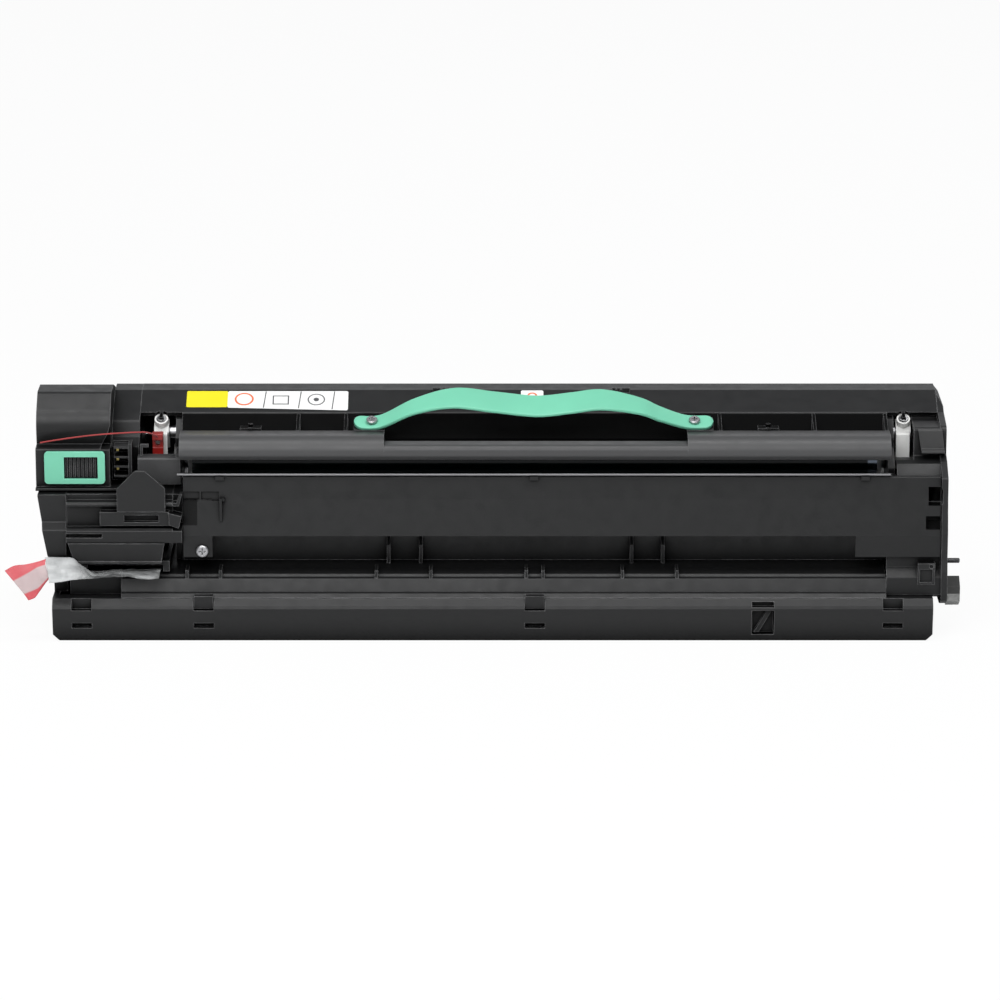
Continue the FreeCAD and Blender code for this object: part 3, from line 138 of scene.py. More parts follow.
def mixShaders(tree, share, first, second, target):
    mix = addNode(tree, "MixShader", Fac=share)
    tree.links.new(first.outputs[0], mix.inputs[1])
    tree.links.new(second.outputs[0], mix.inputs[2])
    tree.links.new(mix.outputs[0], addNode(tree, target).inputs["Surface"])


def buildStudio():
    world = bpy.data.worlds.new("studio")
    bpy.context.scene.world = world
    world.use_nodes = True
    tree = world.node_tree
    tree.nodes.clear()
    room = addNode(tree, "Background", Color=studio["worldColor"], Strength=studio["worldStrength"])
    white = addNode(tree, "Background", Color=(1.0, 1.0, 1.0, 1.0), Strength=1.0)
    mixShaders(tree, seenDirectly(tree), room, white, "OutputWorld")

    for name, (place, size, watts) in studio["lamps"].items():
        softLamp(name, place, size, watts)

    far, level = studio["floorReach"], studio["floorLevel"]
    mesh = bpy.data.meshes.new("floor")
    corners = [(-far, -far, level), (far, -far, level), (far, far, level), (-far, far, level)]
    mesh.from_pydata(corners, [], [(0, 1, 2, 3)])
    floor = bpy.data.objects.new("floor", mesh)
    bpy.context.collection.objects.link(floor)
    paper = bpy.data.materials.new("paleFloor")
    paper.use_nodes = True
    tree = paper.node_tree
    tree.nodes.clear()
    pale = studio["floorWhite"]
    matt = addNode(tree, "BsdfDiffuse", Color=(pale, pale, pale, 1.0))
    glow = addNode(tree, "Emission", Color=(1.0, 1.0, 1.0, 1.0), Strength=1.0)
    share = number(tree, "MULTIPLY", seenDirectly(tree), studio["floorGlow"])
    mixShaders(tree, share, matt, glow, "OutputMaterial")
    mesh.materials.append(paper)

    scene = bpy.context.scene
    scene.view_settings.view_transform = "Standard"


placeCamera()
buildStudio()
print("studio ready")


# Finishes
def startFinish(name):
    material = bpy.data.materials.new(name)
    material.use_nodes = True
    tree = material.node_tree
    tree.nodes.clear()
    shader = addNode(tree, "BsdfPrincipled")
    out = addNode(tree, "OutputMaterial")
    tree.links.new(shader.outputs[0], out.inputs["Surface"])
    return material, tree, shader


def spread(tree, value, low, high, toLow, toHigh):
    node = addNode(tree, "MapRange", None, Value=value, From_Min=low, From_Max=high,
                   To_Min=toLow, To_Max=toHigh)
    return node.outputs[0]


def mottled(tree, patches, low, high):
    # A noise keeps to its middle, so only that part is spread over the range
    return spread(tree, patches, 0.3, 0.7, low, high)


def blendColor(tree, share, first, second):
    # Of a colour mix, socket 0 is the share, 6 and 7 are the colours and 2 is the result
    node = addNode(tree, "Mix", {"data_type": "RGBA"})
    for place, value in ((0, share), (6, first), (7, second)):
        connect(tree, (*value, 1.0) if isinstance(value, tuple) else value, node.inputs[place])
    return node.outputs[2]


def objectSpot(tree):
    # X, Y and Z of a point of the piece, in metres
    coords = addNode(tree, "TexCoord").outputs["Object"]
    return addNode(tree, "SeparateXYZ", None, Vector=coords).outputs


def sheetSpot(tree):
    # X across and Y down a sheet, from 0 to 1
    where = addNode(tree, "UVMap", {"uv_map": "sheet"}).outputs[0]
    return addNode(tree, "SeparateXYZ", None, Vector=where).outputs


def cloud(tree, size, detail=2.0, stretch=(1.0, 1.0, 1.0)):
    # A noise whose patches are about size millimetres wide
    coords = addNode(tree, "TexCoord").outputs["Object"]
    mapping = addNode(tree, "Mapping", None, Vector=coords, Scale=stretch)
    texture = addNode(tree, "TexNoise", None, Vector=mapping.outputs[0], Scale=1.0 / mm / size,
                      Detail=detail)
    return texture.outputs["Fac"]


# For the rounded normal: rays, and its cosine to the face on flat ground and on a sharp edge
edges = {"samples": 4, "flat": 0.985, "sharp": 0.80}


def edgeShare(tree, radius):
    # How near a sharp edge is, from 0 on a flat face to 1 on the edge
    bevel = addNode(tree, "Bevel", {"samples": edges["samples"]}, Radius=radius * mm)
    face = addNode(tree, "NewGeometry")
    cosine = vectors(tree, "DOT_PRODUCT", bevel.outputs[0], face.outputs["Normal"]).outputs["Value"]
    return spread(tree, cosine, edges["flat"], edges["sharp"], 0.0, 1.0)


def openShare(tree, reach):
    # 1 on an open face, lower inside slots and corners; the finishes paint shade there from it
    hollow = addNode(tree, "AmbientOcclusion", {"samples": edges["samples"]}, Distance=reach * mm)
    return hollow.outputs["AO"]


def relief(tree, shader, height, strength, depth, soften=None):
    # Fine roughness of the surface, depth in millimetres, on edges that look rounded by soften
    bump = addNode(tree, "Bump", None, Strength=strength, Distance=depth * mm, Height=height)
    if soften:
        rounder = addNode(tree, "Bevel", {"samples": edges["samples"]}, Radius=soften * mm)
        tree.links.new(rounder.outputs[0], bump.inputs["Normal"])
    tree.links.new(bump.outputs[0], shader.inputs["Normal"])


def shade(color, factor):
    return tuple(min(1.0, part * factor) for part in color)


def patchy(tree, patches, color, shades):
    # The colour in patches of a darker and a paler shade
    return blendColor(tree, patches, shade(color, shades[0]), shade(color, shades[1]))


# What a plastic has where its own look says nothing; sizes are in millimetres
plainPlastic = {
    "patch": 38.0,
    "patchShades": (0.86, 1.14),
    "smudge": 6.0,
    "grain": 0.45,
    "grainStrength": 0.25,
    "grainDepth": 0.06,
    "reach": 12.0,
    "hollow": 0.6,
    "hollowRange": (0.30, 0.85),
    "shine": 0.5,
    "hollowShine": 0.3,
    "shineRange": (0.35, 0.90),
    "edgeWidth": 0.5,
    "edgeWear": 0.5,
    "edgePaler": 2.2,
    "edgePatches": (0.35, 0.65, 0.35, 1.0),
    "roughnessBand": (-0.05, 0.07),
    "ior": 1.5,
    "soften": 0.25,
    "softReach": 4.0,
    "softScale": 0.3,
}


def plasticFinish(name, own):
    look = dict(plainPlastic, **own)
    color = look["color"]
    material, tree, shader = startFinish(name)
    spot = objectSpot(tree)
    patches = cloud(tree, look["patch"], 3.0)
    smudges = cloud(tree, look["smudge"], 4.0)
    grain = cloud(tree, look["grain"], 1.0)
    base = patchy(tree, patches, color, look["patchShades"])
    if "rubbed" in look:
        # Painted highlight: paler towards the front, fading out between two depths
        low, high, paler = look["rubbed"]
        base = blendColor(tree, spread(tree, spot["Y"], low * mm, high * mm, 1.0, 0.0), base, paler)
    clear = openShare(tree, look["reach"])
    if "sooty" in look:
        # Painted shade: as dark as a hollow between two depths, fading out at both
        low, high, fade = look["sooty"]
        behind = spread(tree, spot["Y"], (low - fade) * mm, low * mm, 0.0, 1.0)
        before = spread(tree, spot["Y"], high * mm, (high + fade) * mm, 1.0, 0.0)
        clear = number(tree, "SUBTRACT", clear, number(tree, "MULTIPLY", behind, before), True)
    # Painted shade: the colour darkens in slots, corners and recesses
    base = blendColor(tree, spread(tree, clear, *look["hollowRange"], 0.0, 1.0),
                      shade(color, look["hollow"]), base)
    if "inset" in look:
        # Painted shade in a recessed rectangle on the front: darker and duller there
        within = 1.0
        for axis, low, high in look["inset"]:
            above = number(tree, "GREATER_THAN", spot[axis], low * mm)
            below = number(tree, "LESS_THAN", spot[axis], high * mm)
            within = number(tree, "MULTIPLY", within, number(tree, "MULTIPLY", above, below))
        base = blendColor(tree, within, base, shade(color, look["insetShade"]))
        clear = number(tree, "SUBTRACT", clear, number(tree, "MULTIPLY", within, look["insetDull"]))
    # Painted shade on the shine too: less reflection in slots, corners and recesses
    connect(tree, spread(tree, clear, *look["shineRange"], look["hollowShine"], look["shine"]),
            shader.inputs["Specular IOR Level"])
    # Edges paler in patches, partly wear and partly painted highlight along the sharp edges
    wornAndLit = number(tree, "MULTIPLY", edgeShare(tree, look["edgeWidth"]),
                  spread(tree, smudges, *look["edgePatches"]))
    wornAndLit = number(tree, "MULTIPLY", wornAndLit, look["edgeWear"])
    edgeColor = look.get("edgeColor", shade(color, look["edgePaler"]))
    connect(tree, blendColor(tree, wornAndLit, base, edgeColor), shader.inputs["Base Color"])
    low, high = (look["roughness"] + change for change in look["roughnessBand"])
    connect(tree, mottled(tree, smudges, low, high), shader.inputs["Roughness"])
    shader.inputs["IOR"].default_value = look["ior"]
    relief(tree, shader, grain, look["grainStrength"], look["grainDepth"], look["soften"])
    if "soft" in look:
        shader.inputs["Subsurface Weight"].default_value = look["soft"]
        shader.inputs["Subsurface Radius"].default_value = [look["softReach"] * mm] * 3
        shader.inputs["Subsurface Scale"].default_value = look["softScale"]
    return material


# What a metal has where its own look says nothing; sizes are in millimetres
plainMetal = {
    "streak": 0.25,
    "along": (40.0, 1.0, 1.0),
    "patch": 9.0,
    "patchShades": (0.85, 1.1),
    "reach": 1.5,
    "hollow": 0.15,
    "hollowRange": (0.35, 0.85),
    "edgeWidth": 0.35,
    "edge": 1.3,
    "metallic": 1.0,
    "roughnessBand": (-0.06, 0.10),
    "streakStrength": 0.25,
    "streakDepth": 0.03,
    "soften": 0.2,
}


def metalFinish(name, own):
    look = dict(plainMetal, **own)
    color = look["color"]
    material, tree, shader = startFinish(name)
    streaks = cloud(tree, look["streak"], 2.0, look["along"])
    smudges = cloud(tree, look["patch"], 4.0)
    base = patchy(tree, smudges, color, look["patchShades"])
    # Painted shade: darker in slots and recesses, such as the cross of a screw head
    clear = openShare(tree, look["reach"])
    base = blendColor(tree, spread(tree, clear, *look["hollowRange"], 0.0, 1.0),
                      shade(color, look["hollow"]), base)
    # Painted highlight: edges paler, such as the bright ring of a screw head
    base = blendColor(tree, edgeShare(tree, look["edgeWidth"]), base, shade(color, look["edge"]))
    if "darkAbove" in look:
        # Oxidised above a height
        height, darker = look["darkAbove"]
        above = number(tree, "GREATER_THAN", objectSpot(tree)["Z"], height * mm)
        base = blendColor(tree, above, base, shade(color, darker))
    connect(tree, base, shader.inputs["Base Color"])
    shader.inputs["Metallic"].default_value = look["metallic"]
    low, high = (look["roughness"] + change for change in look["roughnessBand"])
    connect(tree, mottled(tree, streaks, low, high), shader.inputs["Roughness"])
    relief(tree, shader, streaks, look["streakStrength"], look["streakDepth"], look["soften"])
    return material


# What a felt or a yarn has where its own look says nothing; sizes are in millimetres
plainCloth = {
    "fibre": 0.3,
    "fibreShades": (0.7, 1.25),
    "fibreStrength": 0.6,
    "fibreDepth": 0.1,
    "roughness": 0.85,
    "sheen": 0.3,
}


def clothFinish(name, own):
    look = dict(plainCloth, **own)
    material, tree, shader = startFinish(name)
    fibres = cloud(tree, look["fibre"], 3.0)
    base = patchy(tree, fibres, look["color"], look["fibreShades"])
    connect(tree, base, shader.inputs["Base Color"])
    shader.inputs["Roughness"].default_value = look["roughness"]
    shader.inputs["Sheen Weight"].default_value = look["sheen"]
    relief(tree, shader, fibres, look["fibreStrength"], look["fibreDepth"])
    return material


def drumFinish(name, look):
    # Coated in the middle, bare aluminium near both ends
    material, tree, shader = startFinish(name)
    place = objectSpot(tree)["X"]
    left = number(tree, "LESS_THAN", place, look["coatFrom"] * mm)
    right = number(tree, "GREATER_THAN", place, look["coatTo"] * mm)
    bare = number(tree, "ADD", left, right, True)
    haze = cloud(tree, look["haze"], 3.0)
    coat = patchy(tree, haze, look["color"], look["hazeShades"])
    connect(tree, blendColor(tree, bare, coat, look["bare"]), shader.inputs["Base Color"])
    connect(tree, number(tree, "MULTIPLY", bare, look["bareMetal"]), shader.inputs["Metallic"])
    connect(tree, mottled(tree, haze, *look["roughness"]), shader.inputs["Roughness"])
    return material


finishes = {
    "black_plastic": (plasticFinish, {
        "color": (0.0080, 0.0081, 0.0084), "roughness": 0.42, "ior": 1.42,
        "edgeWear": 0.9, "edgeColor": (0.26, 0.26, 0.262), "edgeWidth": 0.5,
        "hollow": 0.2, "hollowShine": 0.04}),
    "grip_grey": (plasticFinish, {
        "color": (0.030, 0.030, 0.030), "roughness": 0.55, "grain": 0.7,
        "edgeColor": (0.12, 0.12, 0.12)}),
    "mint_plastic": (plasticFinish, {
        "color": (0.165, 0.545, 0.370), "roughness": 0.42, "soft": 0.08, "grainStrength": 0.12,
        "edgeWear": 0.75, "edgeColor": (0.42, 0.96, 0.74)}),
    "white_nylon": (plasticFinish, {
        "color": (0.80, 0.80, 0.78), "roughness": 0.38, "soft": 0.15, "grainStrength": 0.12,
        "edgeWear": 0.2, "edgeColor": (0.95, 0.95, 0.93)}),
    "grey_plastic": (plasticFinish, {"color": (0.22, 0.22, 0.23), "roughness": 0.45}),
    "steel": (metalFinish, {"color": (0.50, 0.50, 0.51), "roughness": 0.30}),
    # The coat is near black: its own dark colour, darkened further as painted shade inside the slit
    "drum_coat": (drumFinish, {
        "color": (0.004, 0.014, 0.013), "bare": (0.30, 0.34, 0.40), "bareMetal": 0.9,
        "coatFrom": -143.5, "coatTo": 179.5, "haze": 20.0, "hazeShades": (0.8, 1.0),
        "roughness": (0.10, 0.16)}),
    "roller_rubber": (plasticFinish, {
        "color": (0.03, 0.03, 0.031), "roughness": 0.7, "grain": 0.25}),
    "blade_rubber": (plasticFinish, {"color": (0.50, 0.33, 0.14), "roughness": 0.3, "soft": 0.3}),
    "sleeve_metal": (metalFinish, {
        "color": (0.30, 0.30, 0.31), "roughness": 0.45, "streak": 0.15, "along": (1.0, 1.0, 1.0)}),
    "magnet": (plasticFinish, {"color": (0.06, 0.06, 0.062), "roughness": 0.55}),
    "felt": (clothFinish, {"color": (0.09, 0.09, 0.09)}),
    "red_plastic": (plasticFinish, {
        "color": (0.26, 0.010, 0.008), "roughness": 0.35,
        "edgeWear": 0.4, "edgeColor": (0.50, 0.07, 0.035)}),
    "red_thread": (clothFinish, {"color": (0.36, 0.035, 0.035), "fibre": 0.15}),
    "film": (plasticFinish, {"color": (0.45, 0.46, 0.46), "roughness": 0.22}),
    "tape": (clothFinish, {"color": (0.62, 0.10, 0.12)}),
    "contact_gold": (metalFinish, {"color": (0.45, 0.36, 0.12), "roughness": 0.35}),
}
materials = {slot: build(slot, look) for slot, (build, look) in finishes.items()}
for part in frame["record"]["subparts"]:
    mesh = cad[part["node"]].data
    mesh.materials.clear()
    mesh.materials.append(materials[part["material_slot"]])

# Single pieces whose finish differs from their neighbours
blackLook = finishes["black_plastic"][1]
singles = {
    "beadPlastic": (["upper_housing"], plasticFinish, dict(
        blackLook, rubbed=(-31.0, -21.5, (0.055, 0.055, 0.056)), sooty=(-21.3, -7.2, 0.6))),
    "coverPlastic": (["front_cover"], plasticFinish, dict(
        blackLook, edgeWear=0.0, soften=0.005, color=(0.0062, 0.0063, 0.0065),
        inset=(("X", -146.2, -138.6), ("Z", 54.0, 66.2)), insetShade=0.3, insetDull=0.4)),
    "screwSteel": ([node for node in cad if "screw" in node], metalFinish, {
        "color": (0.42, 0.42, 0.43), "roughness": 0.40, "reach": 1.2, "edge": 1.8}),
    "rodSteel": (["slit_rod"], metalFinish, {
        "color": (0.20, 0.20, 0.205), "roughness": 0.50, "edge": 1.0}),
    "pinSteel": (["locating_pin"], metalFinish, {
        "color": (0.07, 0.07, 0.072), "roughness": 0.38, "streak": 0.4}),
    "couplingSteel": (["drive_coupling"], metalFinish, {
        "color": (0.40, 0.40, 0.39), "roughness": 0.46, "streak": 1.4, "along": (1.0, 1.0, 1.0),
        "metallic": 0.85, "patch": 1.6, "patchShades": (0.3, 1.1), "darkAbove": (18.6, 0.16)}),
}
for name, (nodes, build, look) in singles.items():
    finish = build(name, look)
    for node in nodes:
        cad[node].data.materials[0] = finish
print("finishes on the frame:", len(materials) + len(singles))


# Building pieces
def pieceFrom(name, vertices, faces, material, smooth=True):
    mesh = bpy.data.meshes.new(name)
    mesh.from_pydata([tuple(spot) for spot in vertices], [], faces)
    mesh.validate()
    mesh.materials.append(material)
    mesh.polygons.foreach_set("use_smooth", [smooth] * len(mesh.polygons))
    piece = bpy.data.objects.new(name, mesh)
    bpy.context.collection.objects.link(piece)
    return piece


# Thread of the transport clip, from its eye outwards; in millimetres, but its length in metres
thread = {
    "radius": 0.35,
    "fineness": 16,
    "roundness": 3,
    "order": 3,
    "route": [(-158.4, -17.7, 90.8), (-161.0, -23.0, 94.4), (-170.0, -28.6, 95.6),
              (-184.0, -29.8, 95.0), (-199.0, -29.4, 93.2), (-213.0, -28.6, 90.6)],
    "length": 0.0603,
}


def buildThread():
    curve = bpy.data.curves.new("clipThread", "CURVE")
    curve.dimensions = "3D"
    curve.resolution_u = thread["fineness"]
    curve.bevel_depth = thread["radius"] * mm
    curve.bevel_resolution = thread["roundness"]
    curve.use_fill_caps = True
    line = curve.splines.new("NURBS")
    line.points.add(len(thread["route"]) - 1)
    for point, spot in zip(line.points, thread["route"]):
        point.co = (*inMetres(spot), 1.0)
    line.order_u = thread["order"]
    line.use_endpoint_u = True
    curve.materials.append(materials["red_thread"])
    piece = bpy.data.objects.new("clipThread", curve)
    bpy.context.collection.objects.link(piece)
    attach(piece, "transport_clip")
    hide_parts("clip_thread")


buildThread()
print("thread laid")

# Carrying strap, swept along its own curve; each point is x and its height over the seat, in
# millimetres and square to the tilted seat
strap = {
    "left": -65.1,
    "right": 104.9,
    "curve": [(-53.0, 0.0), (-36.3, 9.5), (-17.8, 14.6), (1.7, 12.1), (21.4, 9.7),
              (37.3, 11.6), (52.0, 13.6), (69.6, 9.9), (80.0, 4.8), (92.5, 0.0)],
    "seat": (-19.0, 97.4),
    "tilt": 25.0,
    "thickness": 1.8,
    "middleWidth": 15.0,
    "endWidth": 9.4,
    "edgeRadius": 0.75,
    "endRadius": 4.2,
    "widening": (-52.0, -8.0),
    "narrowing": (46.0, 92.0),
    "steps": 300,
    "fineness": 24,
    "edgeSteps": 5,
    "tipRest": 0.001,
}


def startTree(name, sizes):
    # A node group with one named input for each size
    tree = bpy.data.node_groups.new(name, "GeometryNodeTree")
    tree.interface.new_socket(name="Geometry", in_out="INPUT", socket_type="NodeSocketGeometry")
    tree.interface.new_socket(name="Geometry", in_out="OUTPUT", socket_type="NodeSocketGeometry")
    for size in sizes:
        tree.interface.new_socket(name=size, in_out="INPUT", socket_type="NodeSocketFloat")
    return tree, tree.nodes.new("NodeGroupInput"), tree.nodes.new("NodeGroupOutput")


def endTree(tree, geometry, out, material):
    real = addNode(tree, "GeometryNodeRealizeInstances", Geometry=geometry)
    painted = addNode(tree, "GeometryNodeSetMaterial", Geometry=real.outputs[0], Material=material)
    tree.links.new(painted.outputs[0], out.inputs[0])


def growTree(carrier, tree, sizes):
    # Runs the tree on its carrier and keeps the result as a plain mesh
    modifier = carrier.modifiers.new(tree.name, "NODES")
    modifier.node_group = tree
    for item in tree.interface.items_tree:
        if item.name in sizes:
            modifier[item.identifier] = sizes[item.name]
    graph = bpy.context.evaluated_depsgraph_get()
    mesh = bpy.data.meshes.new_from_object(carrier.evaluated_get(graph))
    bare = carrier.data
    carrier.modifiers.clear()
    carrier.data = mesh
    bpy.data.meshes.remove(bare)


def strapTree(material, sizes):
    tree, given, out = startTree("strapSweep", sizes)
    size = given.outputs
    line = addNode(tree, "GeometryNodeMeshToCurve", None, Mesh=size["Geometry"])
    smooth = addNode(tree, "GeometryNodeCurveSplineType", {"spline_type": "CATMULL_ROM"},
                     Curve=line.outputs[0])
    fine = addNode(tree, "GeometryNodeSetSplineResolution", None, Geometry=smooth.outputs[0],
                   Resolution=strap["fineness"])
    even = addNode(tree, "GeometryNodeResampleCurve", None, Curve=fine.outputs[0],
                   Count=strap["steps"])
    across = addNode(tree, "CombineXYZ", None, X=0.0, Y=number(tree, "COSINE", size["Tilt"]),
                     Z=number(tree, "SINE", size["Tilt"])).outputs[0]
    turned = addNode(tree, "GeometryNodeSetCurveNormal", {"mode": "FREE"}, Curve=even.outputs[0],
                     Normal=across)
    section = addNode(tree, "GeometryNodeCurvePrimitiveQuadrilateral", None,
                      Width=size["Middle width"], Height=size["Thickness"])
    soft = addNode(tree, "GeometryNodeFilletCurve", {"mode": "POLY"}, Curve=section.outputs[0],
                   Count=strap["edgeSteps"], Radius=size["Edge radius"], Limit_Radius=True)
    swept = addNode(tree, "GeometryNodeCurveToMesh", None, Curve=turned.outputs[0],
                    Profile_Curve=soft.outputs[0], Fill_Caps=True)
    # How wide the strap is at each place: narrow ends, a wide middle, and round tips
    place = addNode(tree, "GeometryNodeInputPosition").outputs[0]
    x = addNode(tree, "SeparateXYZ", None, Vector=place).outputs["X"]
    narrow = number(tree, "DIVIDE", size["End width"], size["Middle width"])
    shares = []
    for low, high in (("Widening from", "Widening to"), ("Narrowing to", "Narrowing from")):
        share = addNode(tree, "MapRange", {"interpolation_type": "SMOOTHSTEP"}, Value=x,
                        From_Min=size[low], From_Max=size[high], To_Min=narrow, To_Max=1.0)
        shares.append(share.outputs[0])
    width = number(tree, "MINIMUM", *shares)
    fromEnd = number(tree, "MINIMUM", number(tree, "SUBTRACT", x, size["Left end"]),
                     number(tree, "SUBTRACT", size["Right end"], x))
    inside = number(tree, "DIVIDE", fromEnd, size["End radius"], True)
    missing = number(tree, "POWER", number(tree, "SUBTRACT", 1.0, inside), 2.0)
    # The tips keep a little width, so no face shrinks to nothing
    tip = number(tree, "SQRT", number(tree, "SUBTRACT", 1.0 + strap["tipRest"], missing, True))
    factor = number(tree, "SUBTRACT", number(tree, "MULTIPLY", width, tip), 1.0)
    seat = addNode(tree, "CombineXYZ", None, X=0.0, Y=size["Seat depth"], Z=size["Seat height"])
    fromSeat = vectors(tree, "SUBTRACT", place, seat.outputs[0]).outputs[0]
    aside = vectors(tree, "DOT_PRODUCT", fromSeat, across).outputs["Value"]
    shift = addNode(tree, "VectorMath", {"operation": "SCALE"}, Vector=across,
                    Scale=number(tree, "MULTIPLY", factor, aside))
    shaped = addNode(tree, "GeometryNodeSetPosition", None, Geometry=swept.outputs[0],
                     Offset=shift.outputs[0])
    softened = addNode(tree, "GeometryNodeSetShadeSmooth", None, Geometry=shaped.outputs[0])
    endTree(tree, softened.outputs[0], out, material)
    return tree


def buildStrap():
    turn = math.radians(strap["tilt"])
    half = strap["thickness"] / 2
    depth, height = strap["seat"]
    ends = [(strap["left"], 0.0), *strap["curve"], (strap["right"], 0.0)]
    spots = []
    for x, rise in ends:
        over = rise + half
        spots.append(inMetres((x, depth - math.sin(turn) * over, height + math.cos(turn) * over)))
    mesh = bpy.data.meshes.new("carryStrap")
    mesh.from_pydata(spots, [(i, i + 1) for i in range(len(spots) - 1)], [])
    piece = bpy.data.objects.new("carryStrap", mesh)
    bpy.context.collection.objects.link(piece)
    lengths = {
        "Thickness": strap["thickness"], "Middle width": strap["middleWidth"],
        "End width": strap["endWidth"], "Edge radius": strap["edgeRadius"],
        "End radius": strap["endRadius"], "Left end": strap["left"], "Right end": strap["right"],
        "Widening from": strap["widening"][0], "Widening to": strap["widening"][1],
        "Narrowing from": strap["narrowing"][0], "Narrowing to": strap["narrowing"][1],
        "Seat depth": depth, "Seat height": height,
    }
    sizes = {name: length * mm for name, length in lengths.items()}
    sizes["Tilt"] = turn
    growTree(piece, strapTree(materials["mint_plastic"], sizes), sizes)
    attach(piece, "housing")
    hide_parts("handle_strap")
    return piece


strapPiece = buildStrap()
print("strap swept:", len(strapPiece.data.polygons), "faces")

# Seal film and pull tape, each a sheet through rows of points in millimetres. A row runs from left
# to right, and the film's root row lies inside the slot. A wave has its share, how close it comes
# along and across, and its layer of the noise; the tape's wave has no share.
film = {
    "root": [
        (-209.6, -46.6, 38.4), (-203.4, -45.6, 37.8), (-197.0, -45.0, 36.8), (-193.0, -44.6, 35.0),
        (-190.0, -44.0, 32.6), (-186.0, -43.0, 31.6), (-181.2, -42.4, 31.9), (-176.5, -42.2, 32.2),
        (-169.3, -42.0, 32.4), (-162.2, -42.0, 32.4), (-155.8, -42.4, 32.6)],
    "edge": [
        (-210.2, -48.0, 39.6), (-204.0, -47.5, 39.6), (-197.4, -47.4, 39.2), (-193.8, -47.6, 36.4),
        (-190.4, -48.6, 34.4), (-186.0, -50.0, 31.9), (-181.2, -51.0, 32.7), (-176.5, -52.0, 33.7),
        (-169.3, -52.0, 34.0), (-162.2, -52.0, 33.9), (-155.6, -51.0, 34.6)],
    "fold": [
        (-208.8, -53.4, 35.4), (-203.2, -53.6, 35.7), (-197.4, -53.6, 35.8), (-192.0, -53.8, 35.0),
        (-188.0, -54.4, 33.4), (-183.6, -54.6, 33.2), (-177.6, -54.8, 33.9), (-173.0, -55.0, 34.2),
        (-167.0, -55.2, 33.8), (-161.6, -55.2, 33.4), (-155.8, -54.4, 33.8)],
    "low": [
        (-207.6, -57.0, 29.9), (-202.6, -57.2, 30.4), (-197.4, -57.5, 31.3), (-190.7, -57.8, 32.0),
        (-186.0, -57.8, 32.3), (-181.2, -57.5, 32.6), (-174.1, -57.0, 33.0), (-169.3, -57.0, 32.8),
        (-164.6, -57.3, 31.9), (-160.8, -57.3, 31.7), (-156.0, -57.0, 32.1)],
    "columns": 150,
    "rows": 40,
    "thickness": 0.12,
    "crease": 0.9,
    "towards": (0.0, -0.7, 0.7),
    "waves": [(1.0, 0.16, 2.2, 3.0), (0.5, 0.5, 5.0, 8.0)],
    "calmEnds": 4.0,
    "haze": 16.0,
    "colors": ((0.30, 0.31, 0.31), (0.60, 0.61, 0.61)),
    "roughness": (0.18, 0.34),
    "doubleTo": (0.14, 0.40),
    "cloudy": (0.84, 0.20),
    "creaseWidth": 5.0,
    "creaseStretch": (0.5, 1.0, 1.8),
    "creaseStrength": 0.22,
    "creaseDepth": 0.3,
    "streaks": (0.40, 0.62, -0.12, 0.20),
}
tape = {
    "lines": [
        [(-228.8, -53.0, 34.7), (-224.4, -52.0, 36.9), (-218.9, -51.0, 37.3), (-213.5, -50.0, 38.3),
         (-209.7, -49.0, 39.3)],
        [(-224.7, -54.5, 30.1), (-221.3, -53.5, 31.7), (-217.1, -52.5, 33.9), (-213.5, -52.0, 36.0),
         (-209.7, -51.0, 37.1)],
        [(-219.8, -55.5, 24.1), (-217.7, -55.0, 24.9), (-213.5, -54.5, 26.6), (-210.8, -54.0, 29.1),
         (-208.0, -53.5, 32.0)],
        [(-217.7, -56.0, 21.1), (-214.7, -55.5, 22.2), (-212.6, -54.5, 24.8), (-210.4, -53.0, 27.8),
         (-208.8, -52.0, 29.7)],
    ],
    "places": [0.0, 0.30, 0.80, 1.0],
    "columns": 44,
    "rows": 32,
    "thickness": 0.15,
    "wave": 0.18,
    "towards": (0.0, -1.0, 0.3),
    "waves": (4.0, 2.0, 1.0),
    "stripe": (0.30, 0.80),
    "stripeBlur": 0.02,
    "reds": ((0.48, 0.055, 0.070), (0.62, 0.10, 0.115)),
    "pales": ((0.42, 0.32, 0.32), (0.56, 0.45, 0.45)),
    "smudge": 5.0,
    "roughness": (0.35, 0.5),
    "soft": 0.1,
    "softReach": (0.002, 0.001, 0.001),
    "fibre": 0.7,
    "fibreStrength": 0.2,
    "fibreDepth": 0.1,
}


def along(points, share):
    # A smooth Catmull-Rom line through the points, from 0 at the first to 1 at the last
    place = min(max(share, 0.0), 1.0) * (len(points) - 1)
    i = min(int(place), len(points) - 2)
    t = place - i
    a, b, c, d = (Vector(points[min(max(k, 0), len(points) - 1)]) for k in (i - 1, i, i + 1, i + 2))
    bend = 2 * a - 5 * b + 4 * c - d
    swing = 3 * b - a - 3 * c + d
    return 0.5 * (2 * b + (c - a) * t + bend * t * t + swing * t ** 3)


def sheetFrom(name, spotAt, columns, rows, material, thickness):
    # A sheet of quads with a UV map that follows it, across and down
    spots = [inMetres(spotAt(i / columns, j / rows))
             for j in range(rows + 1) for i in range(columns + 1)]
    wide = columns + 1
    faces = [(j * wide + i, (j + 1) * wide + i, (j + 1) * wide + i + 1, j * wide + i + 1)
             for j in range(rows) for i in range(columns)]
    piece = pieceFrom(name, spots, faces, material)
    layer = piece.data.uv_layers.new(name="sheet")
    for loop in piece.data.loops:
        j, i = divmod(loop.vertex_index, wide)
        layer.data[loop.index].uv = (i / columns, j / rows)
    area = sum(face.area for face in piece.data.polygons)
    solid = piece.modifiers.new("thickness", "SOLIDIFY")
    solid.thickness = thickness * mm
    solid.offset = 0.0
    return piece, area


